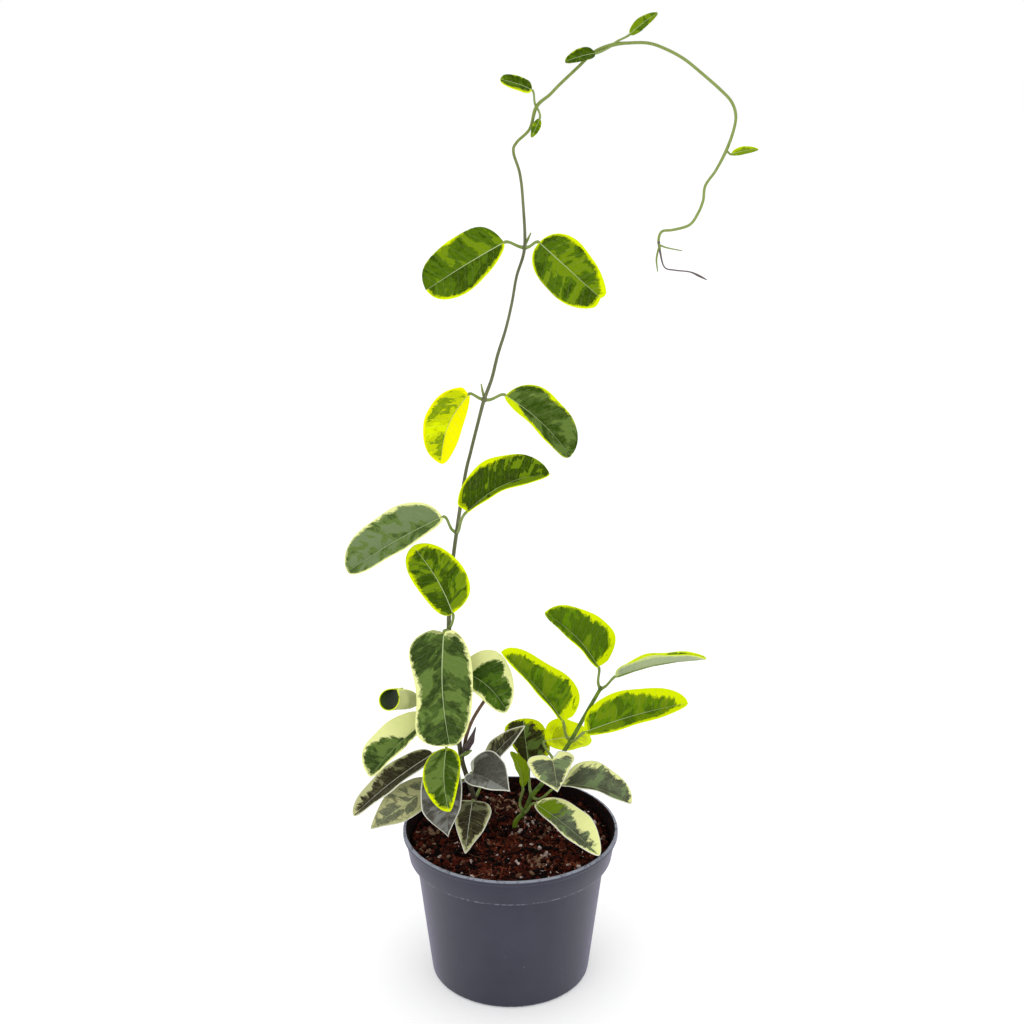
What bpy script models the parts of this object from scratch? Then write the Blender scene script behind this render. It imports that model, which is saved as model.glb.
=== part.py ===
"""A potted madagascar jasmine: a long twining stem and a young bushy stem with variegated leaves.

Points and sizes are named in millimetres and scaled to metres as they enter a mesh.
The origin is the centre of the pot's base, +Z is up and the plant's front faces -Y.
"""

import math
from dataclasses import dataclass

import bmesh
import bpy
from mathutils import Vector

MM = 0.001
GAP = 0.3  # air between two pieces that touch
UP = Vector((0, 0, 1))

# Pot: a six inch nursery pot
POT_HEIGHT = 110
LIP_RADIUS = 76
LIP_DEPTH = 3.2
BAND_HEIGHT = 20
BAND_TOP_RADIUS = 74.3
BAND_BOTTOM_RADIUS = 71.8
BODY_TOP_RADIUS = 67
BASE_RADIUS = 56.5
WALL = 1.6
FLOOR = 2
POT_STEPS = 48
DRAIN_HOLES = 6
DRAIN_RADIUS = 4.5
DRAIN_CIRCLE = 40

# Soil
SOIL_TOP = 101
SOIL_BUMP = 1.1
SOIL_STEPS = 36
SOIL_RINGS = 7
HOLE_CLEARANCE = 0.5
STEM_FOOT = 72  # height of the buried end of both stems

# Leaves
BLADE = 0.9  # thickness
STALK_RADIUS = 1.0
CUSHION_RADIUS = 1.15
CUSHION_LENGTH = 1.1
ROWS = 10
STALK_STEPS = 5
TUBE_SIDES = 1  # bevel resolution: six sides on a leaf stalk
STEM_SIDES = 1  # bevel resolution: six sides on a stem

# The twining stem, foot to arch: x, y, z and radius
VINE = [
    (-26, 13, STEM_FOOT, 1.8), (-26, 13, 86, 1.8), (-26, 13, 103, 1.8), (-25.5, 12.5, 112, 1.8),
    (-26, 12, 125, 1.8), (-31, 11, 143, 1.8), (-34, 11, 154, 1.75), (-36, 10, 170, 1.7), (-37, 9, 202, 1.7),
    (-40, 8, 229, 1.6), (-42, 6, 257, 1.6), (-41, 6, 278, 1.4), (-39, 5, 303, 1.3), (-36, 5, 326, 1.3),
    (-30, 4, 365, 1.15), (-26, 4, 382, 1.1), (-21, 3, 402, 1.1), (-17, 3, 417, 1.2), (-12, 2, 431, 1.1),
    (-8, 2, 447, 1.05), (-3, 1, 463, 0.95), (1, 1, 480, 0.9), (4, 0, 497, 0.9), (9, 0, 515, 1.0),
    (8, 0, 542, 0.9), (6, 0, 560, 0.9), (2, 0, 573, 0.9), (4, 0, 579, 0.9), (12, 0, 587, 0.95),
    (16, 0, 600, 1.1), (24, 0, 607, 0.95), (30, 0, 613, 0.95), (41, 0, 623, 0.95), (51, 0, 632, 1.0),
    (62, 0, 636, 1.2), (71, 0, 637, 0.95), (83, 0, 637, 0.95), (93, 0, 634, 0.95), (105, 0, 628, 0.95),
    (117, 0, 619, 0.95), (128, 0, 610, 0.95), (135, 0, 603, 0.95), (138, 0, 595, 0.95), (137, 0, 586, 0.95),
    (133, 0, 574, 1.05), (127, 0, 562, 0.9), (121, 0, 553, 0.9), (120, 0, 544, 0.9), (117, 0, 536, 0.9),
    (112, 0, 529, 0.9), (102, 0, 526, 0.85), (95, 0, 525, 0.85), (93, 0, 520, 0.85), (94, 0, 514, 0.8),
]

# The young stem on the right
BUSH = [
    (3, 11, STEM_FOOT, 1.7), (3, 11, 86, 1.7), (3, 11, 103, 1.7), (5, 10.7, 109, 1.7), (10, 10, 115, 1.7),
    (15, 9, 128, 1.7), (23, 7, 140, 1.6), (32, 5, 156, 1.55), (42, 3, 174, 1.5), (52, 1, 195, 1.4),
    (62, 0, 215, 1.3),
]

# Where the vine's leaves and shoots leave it, numbered from the tip of the arch down
NODE_2 = (133, 0, 574)
NODE_3 = (62, 0, 636)
NODE_4 = (16, 0, 600)
NODE_5 = (9, 0, 515)
NODE_6 = (-17, 3, 417)
NODE_7 = (-36, 5, 326)
NODE_8 = (-42, 6, 257)
NODE_9 = (-38, 8.5, 215)
NODE_10 = (-36, 10, 170)
NODE_11 = (-34, 11, 154)
NODE_12 = (-30, 11, 141)
NODE_13 = (-26, 12, 124)

# The same on the young stem, from the soil up
FORK = (10, 10, 115)
CROTCH = (15, 9, 128)
BUSH_MIDDLE = (32, 5, 156)
BUSH_2 = (42, 3, 174)
BUSH_1 = (62, 0, 215)


@dataclass
class Leaf:
    """One leaf: where it hangs, which way its upper face looks, and the shape of its two halves."""

    name: str
    node: tuple
    base: tuple
    tip: tuple
    face: tuple
    left: tuple  # half width at 15, 50 and 85 % of the length
    right: tuple
    fold: float = 8  # degrees that each half rises from the midrib
    cup: float = 10  # degrees more by its margin
    arch: float = 3  # rise of the midrib at mid length
    bend: float = 0  # sideways bow of the midrib, plus to the left
    lobe: tuple = (0, 0)  # reach of the left and right halves behind the stalk
    notch: float = 0  # depth of a dent in the tip
    wave: float = 0.6  # height of the margin's waves
    phase: float = 0  # where along the margin the waves begin
    square: float = 0.5  # how far the stalk's start is turned square to the stem
    columns: int = 4
    tone: str = "green"


VINE_LEAVES = [
    Leaf("vine_leaf_5_left", NODE_5, (-4, -8, 519), (-52, -20, 491), (-0.05, -0.9, 0.45),
         (8, 16, 14), (16, 18, 14), fold=6, arch=2),
    Leaf("vine_leaf_5_right", NODE_5, (18, -8, 519), (56, -20, 486), (0.1, -0.9, 0.45),
         (14, 16, 10), (15, 21, 17), bend=-1, notch=3, phase=1),
    Leaf("vine_leaf_6_left", NODE_6, (-27, 0, 421), (-45, -12, 378), (-0.2, -0.9, 0.35),
         (6, 12, 8), (14, 16, 12), fold=20, bend=-4, lobe=(0, 4), tone="yellow"),
    Leaf("vine_leaf_6_right", NODE_6, (-3, -2, 421), (39, -12, 383), (0.35, -0.7, 0.6),
         (16, 18, 14), (8, 12, 11), fold=22, bend=1.5, phase=2),
    Leaf("vine_leaf_7_right", NODE_7, (-28, -16, 347), (25, -30, 376), (-0.5, -0.55, 0.65),
         (17, 19, 14), (9, 13, 10), fold=30, bend=5, lobe=(6, 0)),
    Leaf("vine_leaf_7_left", NODE_7, (-45, -2, 339), (-107, -18, 306), (-0.2, -0.65, 0.75),
         (11, 17, 13), (17, 20, 15), fold=25, phase=3),
    Leaf("vine_leaf_8_up", NODE_8, (-39, -2, 271), (-64, -12, 322), (0.4, -0.9, 0),
         (10, 15, 13), (16, 19, 13), bend=-2),
    Leaf("vine_leaf_8_down", NODE_8, (-45, -4, 258), (-41, -28, 185), (0.05, -0.93, 0.37),
         (17, 21, 14), (23, 19, 20), bend=-3, lobe=(3, 3), phase=1, tone="grey"),
    Leaf("vine_leaf_9_right", NODE_9, (-36, 0, 229), (-2, -22, 208), (-0.2, -0.65, 0.75),
         (20, 22, 14), (8, 11, 8), fold=20, bend=4, tone="grey"),
    Leaf("vine_leaf_9_rolled", NODE_9, (-73, -4, 209), (-83, -37, 216), (0.25, -0.2, 0.95),
         (5, 17, 15), (5, 17, 15), fold=0, cup=135, arch=0, wave=0, columns=8),
    Leaf("vine_leaf_10_left", NODE_10, (-56, 0, 193), (-97, -17, 157), (-0.4, -0.53, 0.75),
         (9, 12, 8), (13, 17, 15), fold=25, phase=2, tone="grey"),
    Leaf("vine_leaf_10_front", NODE_10, (-44, -14, 177), (-42, -30, 137), (0.05, -0.93, 0.37),
         (10, 10.5, 5), (12, 14.5, 9), bend=-2.5, tone="green"),
    Leaf("vine_leaf_11_left", NODE_11, (-54, 4, 164), (-110, -8, 122), (-0.55, -0.2, 0.8),
         (9, 11, 7), (10, 12.5, 9), fold=25, phase=1, tone="dark"),
    Leaf("vine_leaf_11_front", NODE_11, (-46, -7, 166), (-43, -23, 113), (0.05, -0.95, 0.3),
         (10, 9, 3), (14, 18, 9), phase=3, tone="grey"),
    Leaf("vine_leaf_12_left", NODE_12, (-52, 0, 142), (-97, -18, 117), (-0.1, -0.7, 0.7),
         (9, 12, 4), (11, 13.5, 6), tone="grey"),
    Leaf("vine_leaf_12_right", NODE_12, (-27, 2, 150), (0, -22, 148), (-0.3, -0.45, 0.85),
         (18, 15, 5), (10.5, 9, 3), fold=15, lobe=(6, 3), tone="dark"),
    Leaf("vine_leaf_13_front", NODE_13, (-27, 4, 127), (-31, -32, 106), (0, -0.5, 0.85),
         (14, 13, 4.5), (12, 9, 3.5), tone="dark"),
    Leaf("vine_leaf_13_right", NODE_13, (-18, 22, 144), (10, 2, 186), (-0.78, -0.48, 0.4),
         (8, 7.5, 3.5), (10, 10, 5), fold=15, tone="dark"),
]

BUSH_LEAVES = [
    Leaf("bush_leaf_1_left", BUSH_1, (60, -4, 233), (23, -14, 276), (0.65, -0.65, 0.4),
         (7, 10, 7), (21, 20, 13), fold=28, bend=-2, lobe=(0, 3)),
    Leaf("bush_leaf_1_right", BUSH_1, (72, -6, 227), (131, -20, 245), (-0.2, 0.3, 0.93),
         (12, 12, 8), (12, 14, 9), fold=25, phase=1),
    Leaf("bush_leaf_2_left", BUSH_2, (36, -4, 193), (-6, -16, 249), (0.7, -0.57, 0.4),
         (9, 12, 8), (21, 18, 11), fold=35, lobe=(0, 4), phase=2),
    Leaf("bush_leaf_2_right", BUSH_2, (51, -12, 188), (119, -26, 216), (-0.4, -0.5, 0.77),
         (16, 18, 12), (9, 12, 8), fold=20),
    Leaf("bush_leaf_3_back", BUSH_MIDDLE, (25, 22, 165), (58, 40, 159), (0.35, -0.47, 0.82),
         (13, 13, 8), (12, 13, 8), fold=15, tone="yellow"),
    Leaf("bush_leaf_3_front", BUSH_MIDDLE, (29, -4, 164), (32, -34, 154), (0, -0.3, 0.95),
         (15, 9.5, 3.5), (17, 16.5, 7), lobe=(7, 3), phase=1, tone="grey"),
    Leaf("bush_leaf_4_back", CROTCH, (13, 27, 144), (9, 40, 174), (0, -0.93, 0.37),
         (5, 11, 14), (15, 17, 13), tone="dark"),
    Leaf("bush_leaf_4_right", CROTCH, (36, -8, 146), (83, -26, 141), (-0.05, -0.25, 0.96),
         (17, 17, 11), (8, 11, 8), fold=28, bend=2.5, square=0.8, tone="grey"),
    Leaf("bush_leaf_5_right", FORK, (18, -6, 130), (60, -50, 115), (-0.05, -0.35, 0.94),
         (11, 15, 10), (7, 11, 8), fold=25, phase=2, tone="grey"),
    Leaf("bush_leaf_5_left", FORK, (9, 11, 134), (0, 15, 160), (0.74, -0.48, 0.46),
         (5, 7, 4), (5, 7, 4), fold=15, square=0.8, tone="yellow"),
]

# Small leaves that are one body with the arch
YOUNG_LEAVES = [
    Leaf("young_2", NODE_2, (136, -2, 572), (152, -5, 575), (0, -0.8, 0.6), (2.4, 3, 1.6), (2, 2.6, 1.4), arch=1),
    Leaf("young_3_right", NODE_3, (72, -1, 642), (88, -4, 654), (-0.3, -0.85, 0.4), (3, 4, 2.2), (3, 3.6, 2), arch=1),
    Leaf("young_3_left", NODE_3, (51, -3, 631), (33, -7, 626), (0, -0.8, 0.6), (3.5, 4, 2.5), (4.5, 5, 3), arch=1),
    Leaf("young_4_left", NODE_4, (13, -3, 610), (-6, -7, 616), (0.2, -0.8, 0.6), (4.5, 5.5, 4), (4.5, 5, 4), arch=1),
    Leaf("young_4_low", NODE_4, (18, -3, 593), (13, -5, 582), (0.3, -0.9, 0.2), (2, 2.6, 1.4), (2, 2.6, 1.4), arch=0),
]
BRACT = Leaf("bract", NODE_11, (-33, 7, 165), (-24, 5, 184), (0.3, -0.9, 0.2), (3, 2.5, 1), (3, 3, 1), arch=2, fold=30)

# Twigs that are one body with the twining stem: points with a radius
TWIGS = [
    [(93.5, 0, 516, 0.8), (92, 0, 508, 0.7), (93, 0, 500, 0.35)],
    [(93, 0, 517, 0.8), (98, 0, 515, 0.7), (108, 0, 513, 0.4)],
    [(93, 0, 516, 0.8), (97, -1, 503, 0.6), (104, -1, 501, 0.6), (113, -1, 500, 0.6), (120, -1, 497, 0.9), (124, -1, 495, 0.5)],
    [(9, 0, 516, 0.8), (11, 1, 520, 0.8), (13, 2, 524, 0.4)],
    [(-17, 3, 418, 0.8), (-18, 5, 422, 0.8), (-19, 6, 427, 0.4)],
    [(-34, 11, 156, 1.2), (-31, 8, 175, 1.3), (-26, 5, 190, 1.2), (-18, 2, 205, 1.2), (-13, 0, 213, 1.0)],
    [(-34, 11, 154, 1.0), (-35, 7, 160, 1.0), (-31, 4, 164, 1.5), (-27, 3, 167, 0.5)],
]

COLOURS = {
    "green": (0.14, 0.25, 0.03),
    "yellow": (0.55, 0.65, 0.05),
    "grey": (0.22, 0.27, 0.17),
    "dark": (0.1, 0.1, 0.08),
}


def clear_scene():
    for old in list(bpy.data.objects):
        bpy.data.objects.remove(old, do_unlink=True)


def new_collection(name, hidden=False):
    group = bpy.data.collections.new(name)
    bpy.context.scene.collection.children.link(group)
    group.hide_render = hidden
    return group


def material(name, colour, roughness):
    finish = bpy.data.materials.new(name)
    finish.use_nodes = True
    shader = finish.node_tree.nodes["Principled BSDF"]
    shader.inputs["Base Color"].default_value = (*colour, 1)
    shader.inputs["Roughness"].default_value = roughness
    shader.inputs["Metallic"].default_value = 0
    return finish


def add_object(name, mesh, group):
    piece = bpy.data.objects.new(name, mesh)
    group.objects.link(piece)
    return piece


def smooth(piece, degrees=40):
    piece.data.shade_smooth()
    piece.data.set_sharp_from_angle(angle=math.radians(degrees))


def bake(piece):
    """Gives the object the mesh that its modifiers make, and drops them."""
    view = bpy.context.evaluated_depsgraph_get()
    mesh = bpy.data.meshes.new_from_object(piece.evaluated_get(view), depsgraph=view)
    piece.modifiers.clear()
    piece.data = mesh


def unite(piece, others):
    """Joins other meshes into one body with the piece."""
    extra = new_collection("joined")
    for other in others:
        for owner in list(other.users_collection):
            owner.objects.unlink(other)
        extra.objects.link(other)
    union = piece.modifiers.new("union", "BOOLEAN")
    union.operation = "UNION"
    union.operand_type = "COLLECTION"
    union.collection = extra
    union.solver = "EXACT"
    union.use_self = True
    bake(piece)
    for other in others:
        bpy.data.objects.remove(other, do_unlink=True)
    bpy.data.collections.remove(extra)


def curve_through(route, steps):
    """Points and radii on a smooth curve through a route's own points."""
    rows = [Vector(row) for row in route]
    path = []
    for i in range(len(rows) - 1):
        before = rows[max(i - 1, 0)]
        start = rows[i]
        end = rows[i + 1]
        after = rows[min(i + 2, len(rows) - 1)]
        for k in range(steps):
            t = k / steps
            lift = (start * 2 + (end - before) * t + (before * 2 - start * 5 + end * 4 - after) * t * t
                    + (start * 3 - before - end * 3 + after) * t * t * t)
            path.append(lift / 2)
    path.append(rows[-1])
    return path


def tube(name, path, sides, group):
    """A closed round tube along points that carry their radius as a fourth number."""
    line = bpy.data.curves.new(name, "CURVE")
    line.dimensions = "3D"
    line.bevel_depth = MM
    line.bevel_resolution = sides
    line.use_fill_caps = True
    spline = line.splines.new("POLY")
    spline.points.add(len(path) - 1)
    for point, row in zip(spline.points, path):
        point.co = (row[0] * MM, row[1] * MM, row[2] * MM, 1)
        point.radius = row[3]
    guide = add_object(name + "_guide", line, group)
    view = bpy.context.evaluated_depsgraph_get()
    mesh = bpy.data.meshes.new_from_object(guide.evaluated_get(view), depsgraph=view)
    weld = bmesh.new()
    weld.from_mesh(mesh)
    bmesh.ops.remove_doubles(weld, verts=weld.verts, dist=0.02 * MM)
    weld.to_mesh(mesh)
    weld.free()
    piece = add_object(name, mesh, group)
    piece.matrix_world = guide.matrix_world
    bpy.data.objects.remove(guide, do_unlink=True)
    return piece


def half_width(widths, u):
    """A smooth margin through half widths at 15, 50 and 85 % of the length, closed at both ends."""
    low, middle, high = widths
    turn = math.acos(1 - 2 * u)
    first = ((low + high) / math.sqrt(2) + middle) / 2
    second = (low - high) / 2
    third = first - middle
    return max(0.0, first * math.sin(turn) + second * math.sin(2 * turn) + third * math.sin(3 * turn))


def leaf_axes(leaf):
    base = Vector(leaf.base)
    along = Vector(leaf.tip) - base
    length = along.length
    along.normalize()
    face = Vector(leaf.face)
    face = (face - along * face.dot(along)).normalized()
    return base, length, along, face.cross(along), face


def leaf_point(leaf, u, v):
    """A point of the leaf's sheet: u runs from stalk to tip, v from the right margin (-1) to the left (1)."""
    base, length, along, side, face = leaf_axes(leaf)
    left = v > 0
    widths = leaf.left if left else leaf.right
    half = half_width(widths, u)
    share = half / max(widths)
    reach = abs(v) * half
    start = math.radians(leaf.fold)
    curl = math.radians(leaf.cup) / max(widths)
    if curl:
        across = (math.sin(start + curl * reach) - math.sin(start)) / curl
        rise = (math.cos(start) - math.cos(start + curl * reach)) / curl
    else:
        across = reach * math.cos(start)
        rise = reach * math.sin(start)
    rise += leaf.wave * v * v * share * math.sin(14.5 * u + leaf.phase + (1.9 if left else 0))
    ends = v * v * min(1, 3 * share)
    run = length * u
    run -= (leaf.lobe[0] if left else leaf.lobe[1]) * ends * math.exp(-u / 0.12)
    run += leaf.notch * ends * math.exp((u - 1) / 0.1)
    middle = math.sin(math.pi * u)
    across = (across if left else -across) + leaf.bend * middle
    return base + along * run + side * across + face * (rise + leaf.arch * middle)


def stem_direction(route, node):
    """The way a stem runs at one of its nodes."""
    spots = [Vector(row[:3]) for row in route]
    nearest = min(range(len(spots)), key=lambda i: (spots[i] - Vector(node)).length)
    before = spots[max(nearest - 1, 0)]
    after = spots[min(nearest + 1, len(spots) - 1)]
    return (after - before).normalized()


def stem_radius(route, node):
    nearest = min(route, key=lambda row: (Vector(row[:3]) - Vector(node)).length)
    return nearest[3]


def stalk_start(leaf, route):
    """Direction in which the leaf's stalk leaves the stem: towards the leaf, mostly sideways."""
    stem = stem_direction(route, leaf.node)
    toward = (Vector(leaf.base) - Vector(leaf.node)).normalized()
    return (toward - stem * toward.dot(stem) * leaf.square).normalized()


def stalk_path(leaf, start, way, radius):
    """The stalk from the stem to the blade, then thinning out under the midrib."""
    base, length, along, side, face = leaf_axes(leaf)
    span = (base - start).length
    leave = way * span * 1.1
    arrive = (along + face * 0.3).normalized() * span * 0.9
    path = []
    for k in range(STALK_STEPS):
        t = k / STALK_STEPS
        spot = (start * (2 * t**3 - 3 * t**2 + 1) + leave * (t**3 - 2 * t**2 + t)
                + base * (3 * t**2 - 2 * t**3) + arrive * (t**3 - t**2))
        path.append((*spot, radius))
    path.append((*(base - face * 0.1), radius * 0.9))
    path.append((*(leaf_point(leaf, 0.05, 0) - face * 0.2), radius * 0.75))
    path.append((*leaf_point(leaf, 0.14, 0), 0.3))
    return path


def blade(leaf, rows, columns, group):
    """The leaf's sheet from a grid, given its thickness with both faces split into the same triangles."""
    sheet = bmesh.new()
    bmesh.ops.create_grid(sheet, x_segments=rows, y_segments=columns, size=0.5)
    for vert in sheet.verts:
        u = (1 - math.cos(math.pi * (vert.co.x + 0.5))) / 2
        vert.co = leaf_point(leaf, min(max(u, 0), 1), 2 * vert.co.y) * MM
    bmesh.ops.remove_doubles(sheet, verts=sheet.verts, dist=0.01 * MM)
    mesh = bpy.data.meshes.new(leaf.name)
    sheet.to_mesh(mesh)
    sheet.free()
    piece = add_object(leaf.name, mesh, group)
    split = piece.modifiers.new("split", "TRIANGULATE")
    split.quad_method = "FIXED"
    body = piece.modifiers.new("body", "SOLIDIFY")
    body.thickness = BLADE * MM
    body.offset = 0
    bake(piece)
    return piece


def make_leaf(leaf, route, group, finishes):
    """A large leaf as one body, its stalk's end facing the cushion on the stem."""
    way = stalk_start(leaf, route)
    start = Vector(leaf.node) + way * (stem_radius(route, leaf.node) + CUSHION_LENGTH + GAP)
    piece = blade(leaf, ROWS, leaf.columns, group)
    stalk = tube(leaf.name + "_stalk", stalk_path(leaf, start, way, STALK_RADIUS), TUBE_SIDES, group)
    unite(piece, [stalk])
    smooth(piece, 50)
    piece.data.materials.clear()
    piece.data.materials.append(finishes[leaf.tone])
    return piece


def cushion(leaf, route, group):
    """The short stub on the stem that a leaf's stalk stands on."""
    way = stalk_start(leaf, route)
    node = Vector(leaf.node)
    end = node + way * (stem_radius(route, leaf.node) + CUSHION_LENGTH)
    path = [(*(node + way * 0.3), CUSHION_RADIUS), (*end, CUSHION_RADIUS)]
    return tube(leaf.name + "_cushion", path, TUBE_SIDES, group)


def young_leaf(leaf, route, group):
    """A small leaf that stays one body with the stem."""
    way = stalk_start(leaf, route)
    sheet = blade(leaf, 6, 2, group)
    stalk = tube(leaf.name + "_stalk", stalk_path(leaf, Vector(leaf.node) + way * 0.2, way, 0.7), TUBE_SIDES, group)
    unite(sheet, [stalk])
    return sheet


def make_pot(group, cutters, finish):
    """A turned cup with a rim band, a rolled lip and drain holes."""
    band_foot = POT_HEIGHT - BAND_HEIGHT
    body_top = band_foot - 2
    profile = [
        (0, FLOOR),
        (BASE_RADIUS - WALL - 0.5, FLOOR),
        (BODY_TOP_RADIUS - WALL, body_top),
        (BAND_BOTTOM_RADIUS - WALL, band_foot + 2),
        (BAND_TOP_RADIUS - WALL, POT_HEIGHT - 1.2),
        (BAND_TOP_RADIUS - WALL + 0.8, POT_HEIGHT),
        (LIP_RADIUS - 0.9, POT_HEIGHT),
        (LIP_RADIUS, POT_HEIGHT - 0.9),
        (LIP_RADIUS, POT_HEIGHT - LIP_DEPTH),
        (BAND_TOP_RADIUS, POT_HEIGHT - LIP_DEPTH - 0.6),
        (BAND_BOTTOM_RADIUS, band_foot),
        (BODY_TOP_RADIUS, band_foot - 0.8),
        (BASE_RADIUS + 0.3, 2),
        (BASE_RADIUS - 0.8, 0),
        (0, 0),
    ]
    pot = turned("pot", profile, POT_STEPS, group)
    holes = new_collection("pot_cutters", hidden=True)
    for k in range(DRAIN_HOLES):
        turn = 2 * math.pi * (k + 0.5) / DRAIN_HOLES
        spot = Vector((math.cos(turn), math.sin(turn), 0)) * DRAIN_CIRCLE * MM
        cutter = cylinder(f"drain_{k}", DRAIN_RADIUS, FLOOR + 4, spot + UP * FLOOR * MM / 2, holes, 12)
        cutters.objects.link(cutter)
    cut = pot.modifiers.new("drain holes", "BOOLEAN")
    cut.operand_type = "COLLECTION"
    cut.collection = holes
    cut.solver = "EXACT"
    smooth(pot)
    pot.data.materials.append(finish)
    return pot


def turned(name, profile, steps, group):
    """A closed body from a profile in the XZ plane, its outer side running top to bottom."""
    line = bmesh.new()
    verts = [line.verts.new((r * MM, 0, z * MM)) for r, z in profile]
    for a, b in zip(verts, verts[1:]):
        line.edges.new((a, b))
    mesh = bpy.data.meshes.new(name)
    line.to_mesh(mesh)
    line.free()
    piece = add_object(name, mesh, group)
    turn = piece.modifiers.new("turn", "SCREW")
    turn.steps = steps
    turn.render_steps = steps
    turn.use_merge_vertices = True
    turn.merge_threshold = 0.00005
    bake(piece)
    return piece


def cylinder(name, radius, height, centre, group, sides):
    """A cutter, hidden from renders."""
    body = bmesh.new()
    bmesh.ops.create_cone(body, cap_ends=True, segments=sides, radius1=radius * MM, radius2=radius * MM,
                          depth=height * MM)
    mesh = bpy.data.meshes.new(name)
    body.to_mesh(mesh)
    body.free()
    piece = add_object(name, mesh, group)
    piece.location = centre
    piece.hide_render = True
    piece.display_type = "WIRE"
    return piece


def soil_height(x, y):
    """Loose top of the potting mix, in millimetres above its mean level."""
    return SOIL_BUMP * (0.5 * math.sin(0.21 * x + 1) * math.cos(0.19 * y) + 0.3 * math.sin(0.43 * y + 0.31 * x)
                        + 0.2 * math.cos(0.55 * x - 0.4 * y))


def make_soil(group, cutters, finish):
    """The filling of the pot, with a plain hole round each stem."""
    inside_base = BASE_RADIUS - WALL - 0.5 - GAP * 1.5
    body_top = POT_HEIGHT - BAND_HEIGHT - 2
    slope = (BODY_TOP_RADIUS - WALL - inside_base) / (body_top - FLOOR)
    edge = BAND_BOTTOM_RADIUS - WALL - GAP * 1.5
    profile = [(edge * k / SOIL_RINGS, SOIL_TOP) for k in range(SOIL_RINGS)]
    profile += [
        (edge, SOIL_TOP - 1),
        (edge, body_top + 4.6),
        (inside_base + slope * (body_top - FLOOR) - GAP * 2, body_top),
        (inside_base - GAP, FLOOR + GAP),
        (0, FLOOR + GAP),
    ]
    soil = turned("soil", profile, SOIL_STEPS, group)
    for vert in soil.data.vertices:
        if vert.co.z > (SOIL_TOP - 2) * MM:
            vert.co.z += soil_height(vert.co.x / MM, vert.co.y / MM) * MM
    holes = new_collection("soil_cutters", hidden=True)
    for name, route in (("vine_hole", VINE), ("bush_hole", BUSH)):
        x, y, z, radius = route[0]
        height = SOIL_TOP + 20 - z
        centre = Vector((x, y, z - GAP + height / 2)) * MM
        cutter = cylinder(name, radius + HOLE_CLEARANCE, height, centre, holes, 12)
        cutters.objects.link(cutter)
    cut = soil.modifiers.new("stem holes", "BOOLEAN")
    cut.operand_type = "COLLECTION"
    cut.collection = holes
    cut.solver = "EXACT"
    smooth(soil)
    soil.data.materials.append(finish)
    return soil


def make_stem(name, route, steps, leaves, extras, group, finish):
    """A stem as one body with its leaf cushions, twigs and young leaves."""
    stem = tube(name, curve_through(route, steps), STEM_SIDES, group)
    parts = [cushion(leaf, route, group) for leaf in leaves]
    unite(stem, parts + extras)
    smooth(stem, 60)
    stem.data.materials.clear()
    stem.data.materials.append(finish)
    return stem


def main():
    clear_scene()
    plant = new_collection("potted_jasmine")
    cutters = new_collection("cutters", hidden=True)
    finishes = {tone: material(tone + " leaf", colour, 0.4) for tone, colour in COLOURS.items()}
    stem_finish = material("green stem", (0.19, 0.25, 0.08), 0.5)
    make_pot(plant, cutters, material("grey plastic", (0.07, 0.08, 0.1), 0.4))
    make_soil(plant, cutters, material("potting mix", (0.05, 0.02, 0.015), 0.95))
    extras = [young_leaf(leaf, VINE, plant) for leaf in YOUNG_LEAVES]
    extras.append(young_leaf(BRACT, VINE, plant))
    for number, twig in enumerate(TWIGS):
        extras.append(tube(f"twig_{number}", curve_through(twig, 2), TUBE_SIDES, plant))
    make_stem("vine_stem", VINE, 2, VINE_LEAVES, extras, plant, stem_finish)
    make_stem("bush_stem", BUSH, 2, BUSH_LEAVES, [], plant, stem_finish)
    for leaf in VINE_LEAVES:
        make_leaf(leaf, VINE, plant, finishes)
    for leaf in BUSH_LEAVES:
        make_leaf(leaf, BUSH, plant, finishes)


main()
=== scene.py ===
"""The look of a potted madagascar jasmine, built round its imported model.

Sizes are named in millimetres and scaled to metres as they enter a mesh.
"""

import math
import random
from dataclasses import dataclass

import bpy
from mathutils import Matrix, Vector, noise


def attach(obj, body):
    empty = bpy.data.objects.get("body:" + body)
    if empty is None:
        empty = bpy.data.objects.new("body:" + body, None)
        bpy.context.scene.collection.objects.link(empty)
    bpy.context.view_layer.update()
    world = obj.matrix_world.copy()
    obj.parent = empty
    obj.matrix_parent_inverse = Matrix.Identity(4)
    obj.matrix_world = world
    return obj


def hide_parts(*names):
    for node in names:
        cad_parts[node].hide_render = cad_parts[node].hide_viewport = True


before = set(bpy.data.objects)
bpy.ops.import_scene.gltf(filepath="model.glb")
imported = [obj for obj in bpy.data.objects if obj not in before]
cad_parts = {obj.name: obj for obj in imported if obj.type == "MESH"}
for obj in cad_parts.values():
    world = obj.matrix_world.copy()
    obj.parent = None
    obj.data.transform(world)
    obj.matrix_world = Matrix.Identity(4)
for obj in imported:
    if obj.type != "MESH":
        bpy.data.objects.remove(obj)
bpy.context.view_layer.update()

bl_info = {
    "name": "Potted Madagascar Jasmine",
    "version": (1, 0, 0),
    "blender": (4, 5, 0),
    "location": "View3D > Sidebar > Jasmine",
    "description": "Builds a variegated vine in a nursery pot piece by piece",
    "category": "Object",
}

MM = 0.001
BODY = "root"
SEED = 41
WELD_DISTANCE = 0.01

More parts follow.
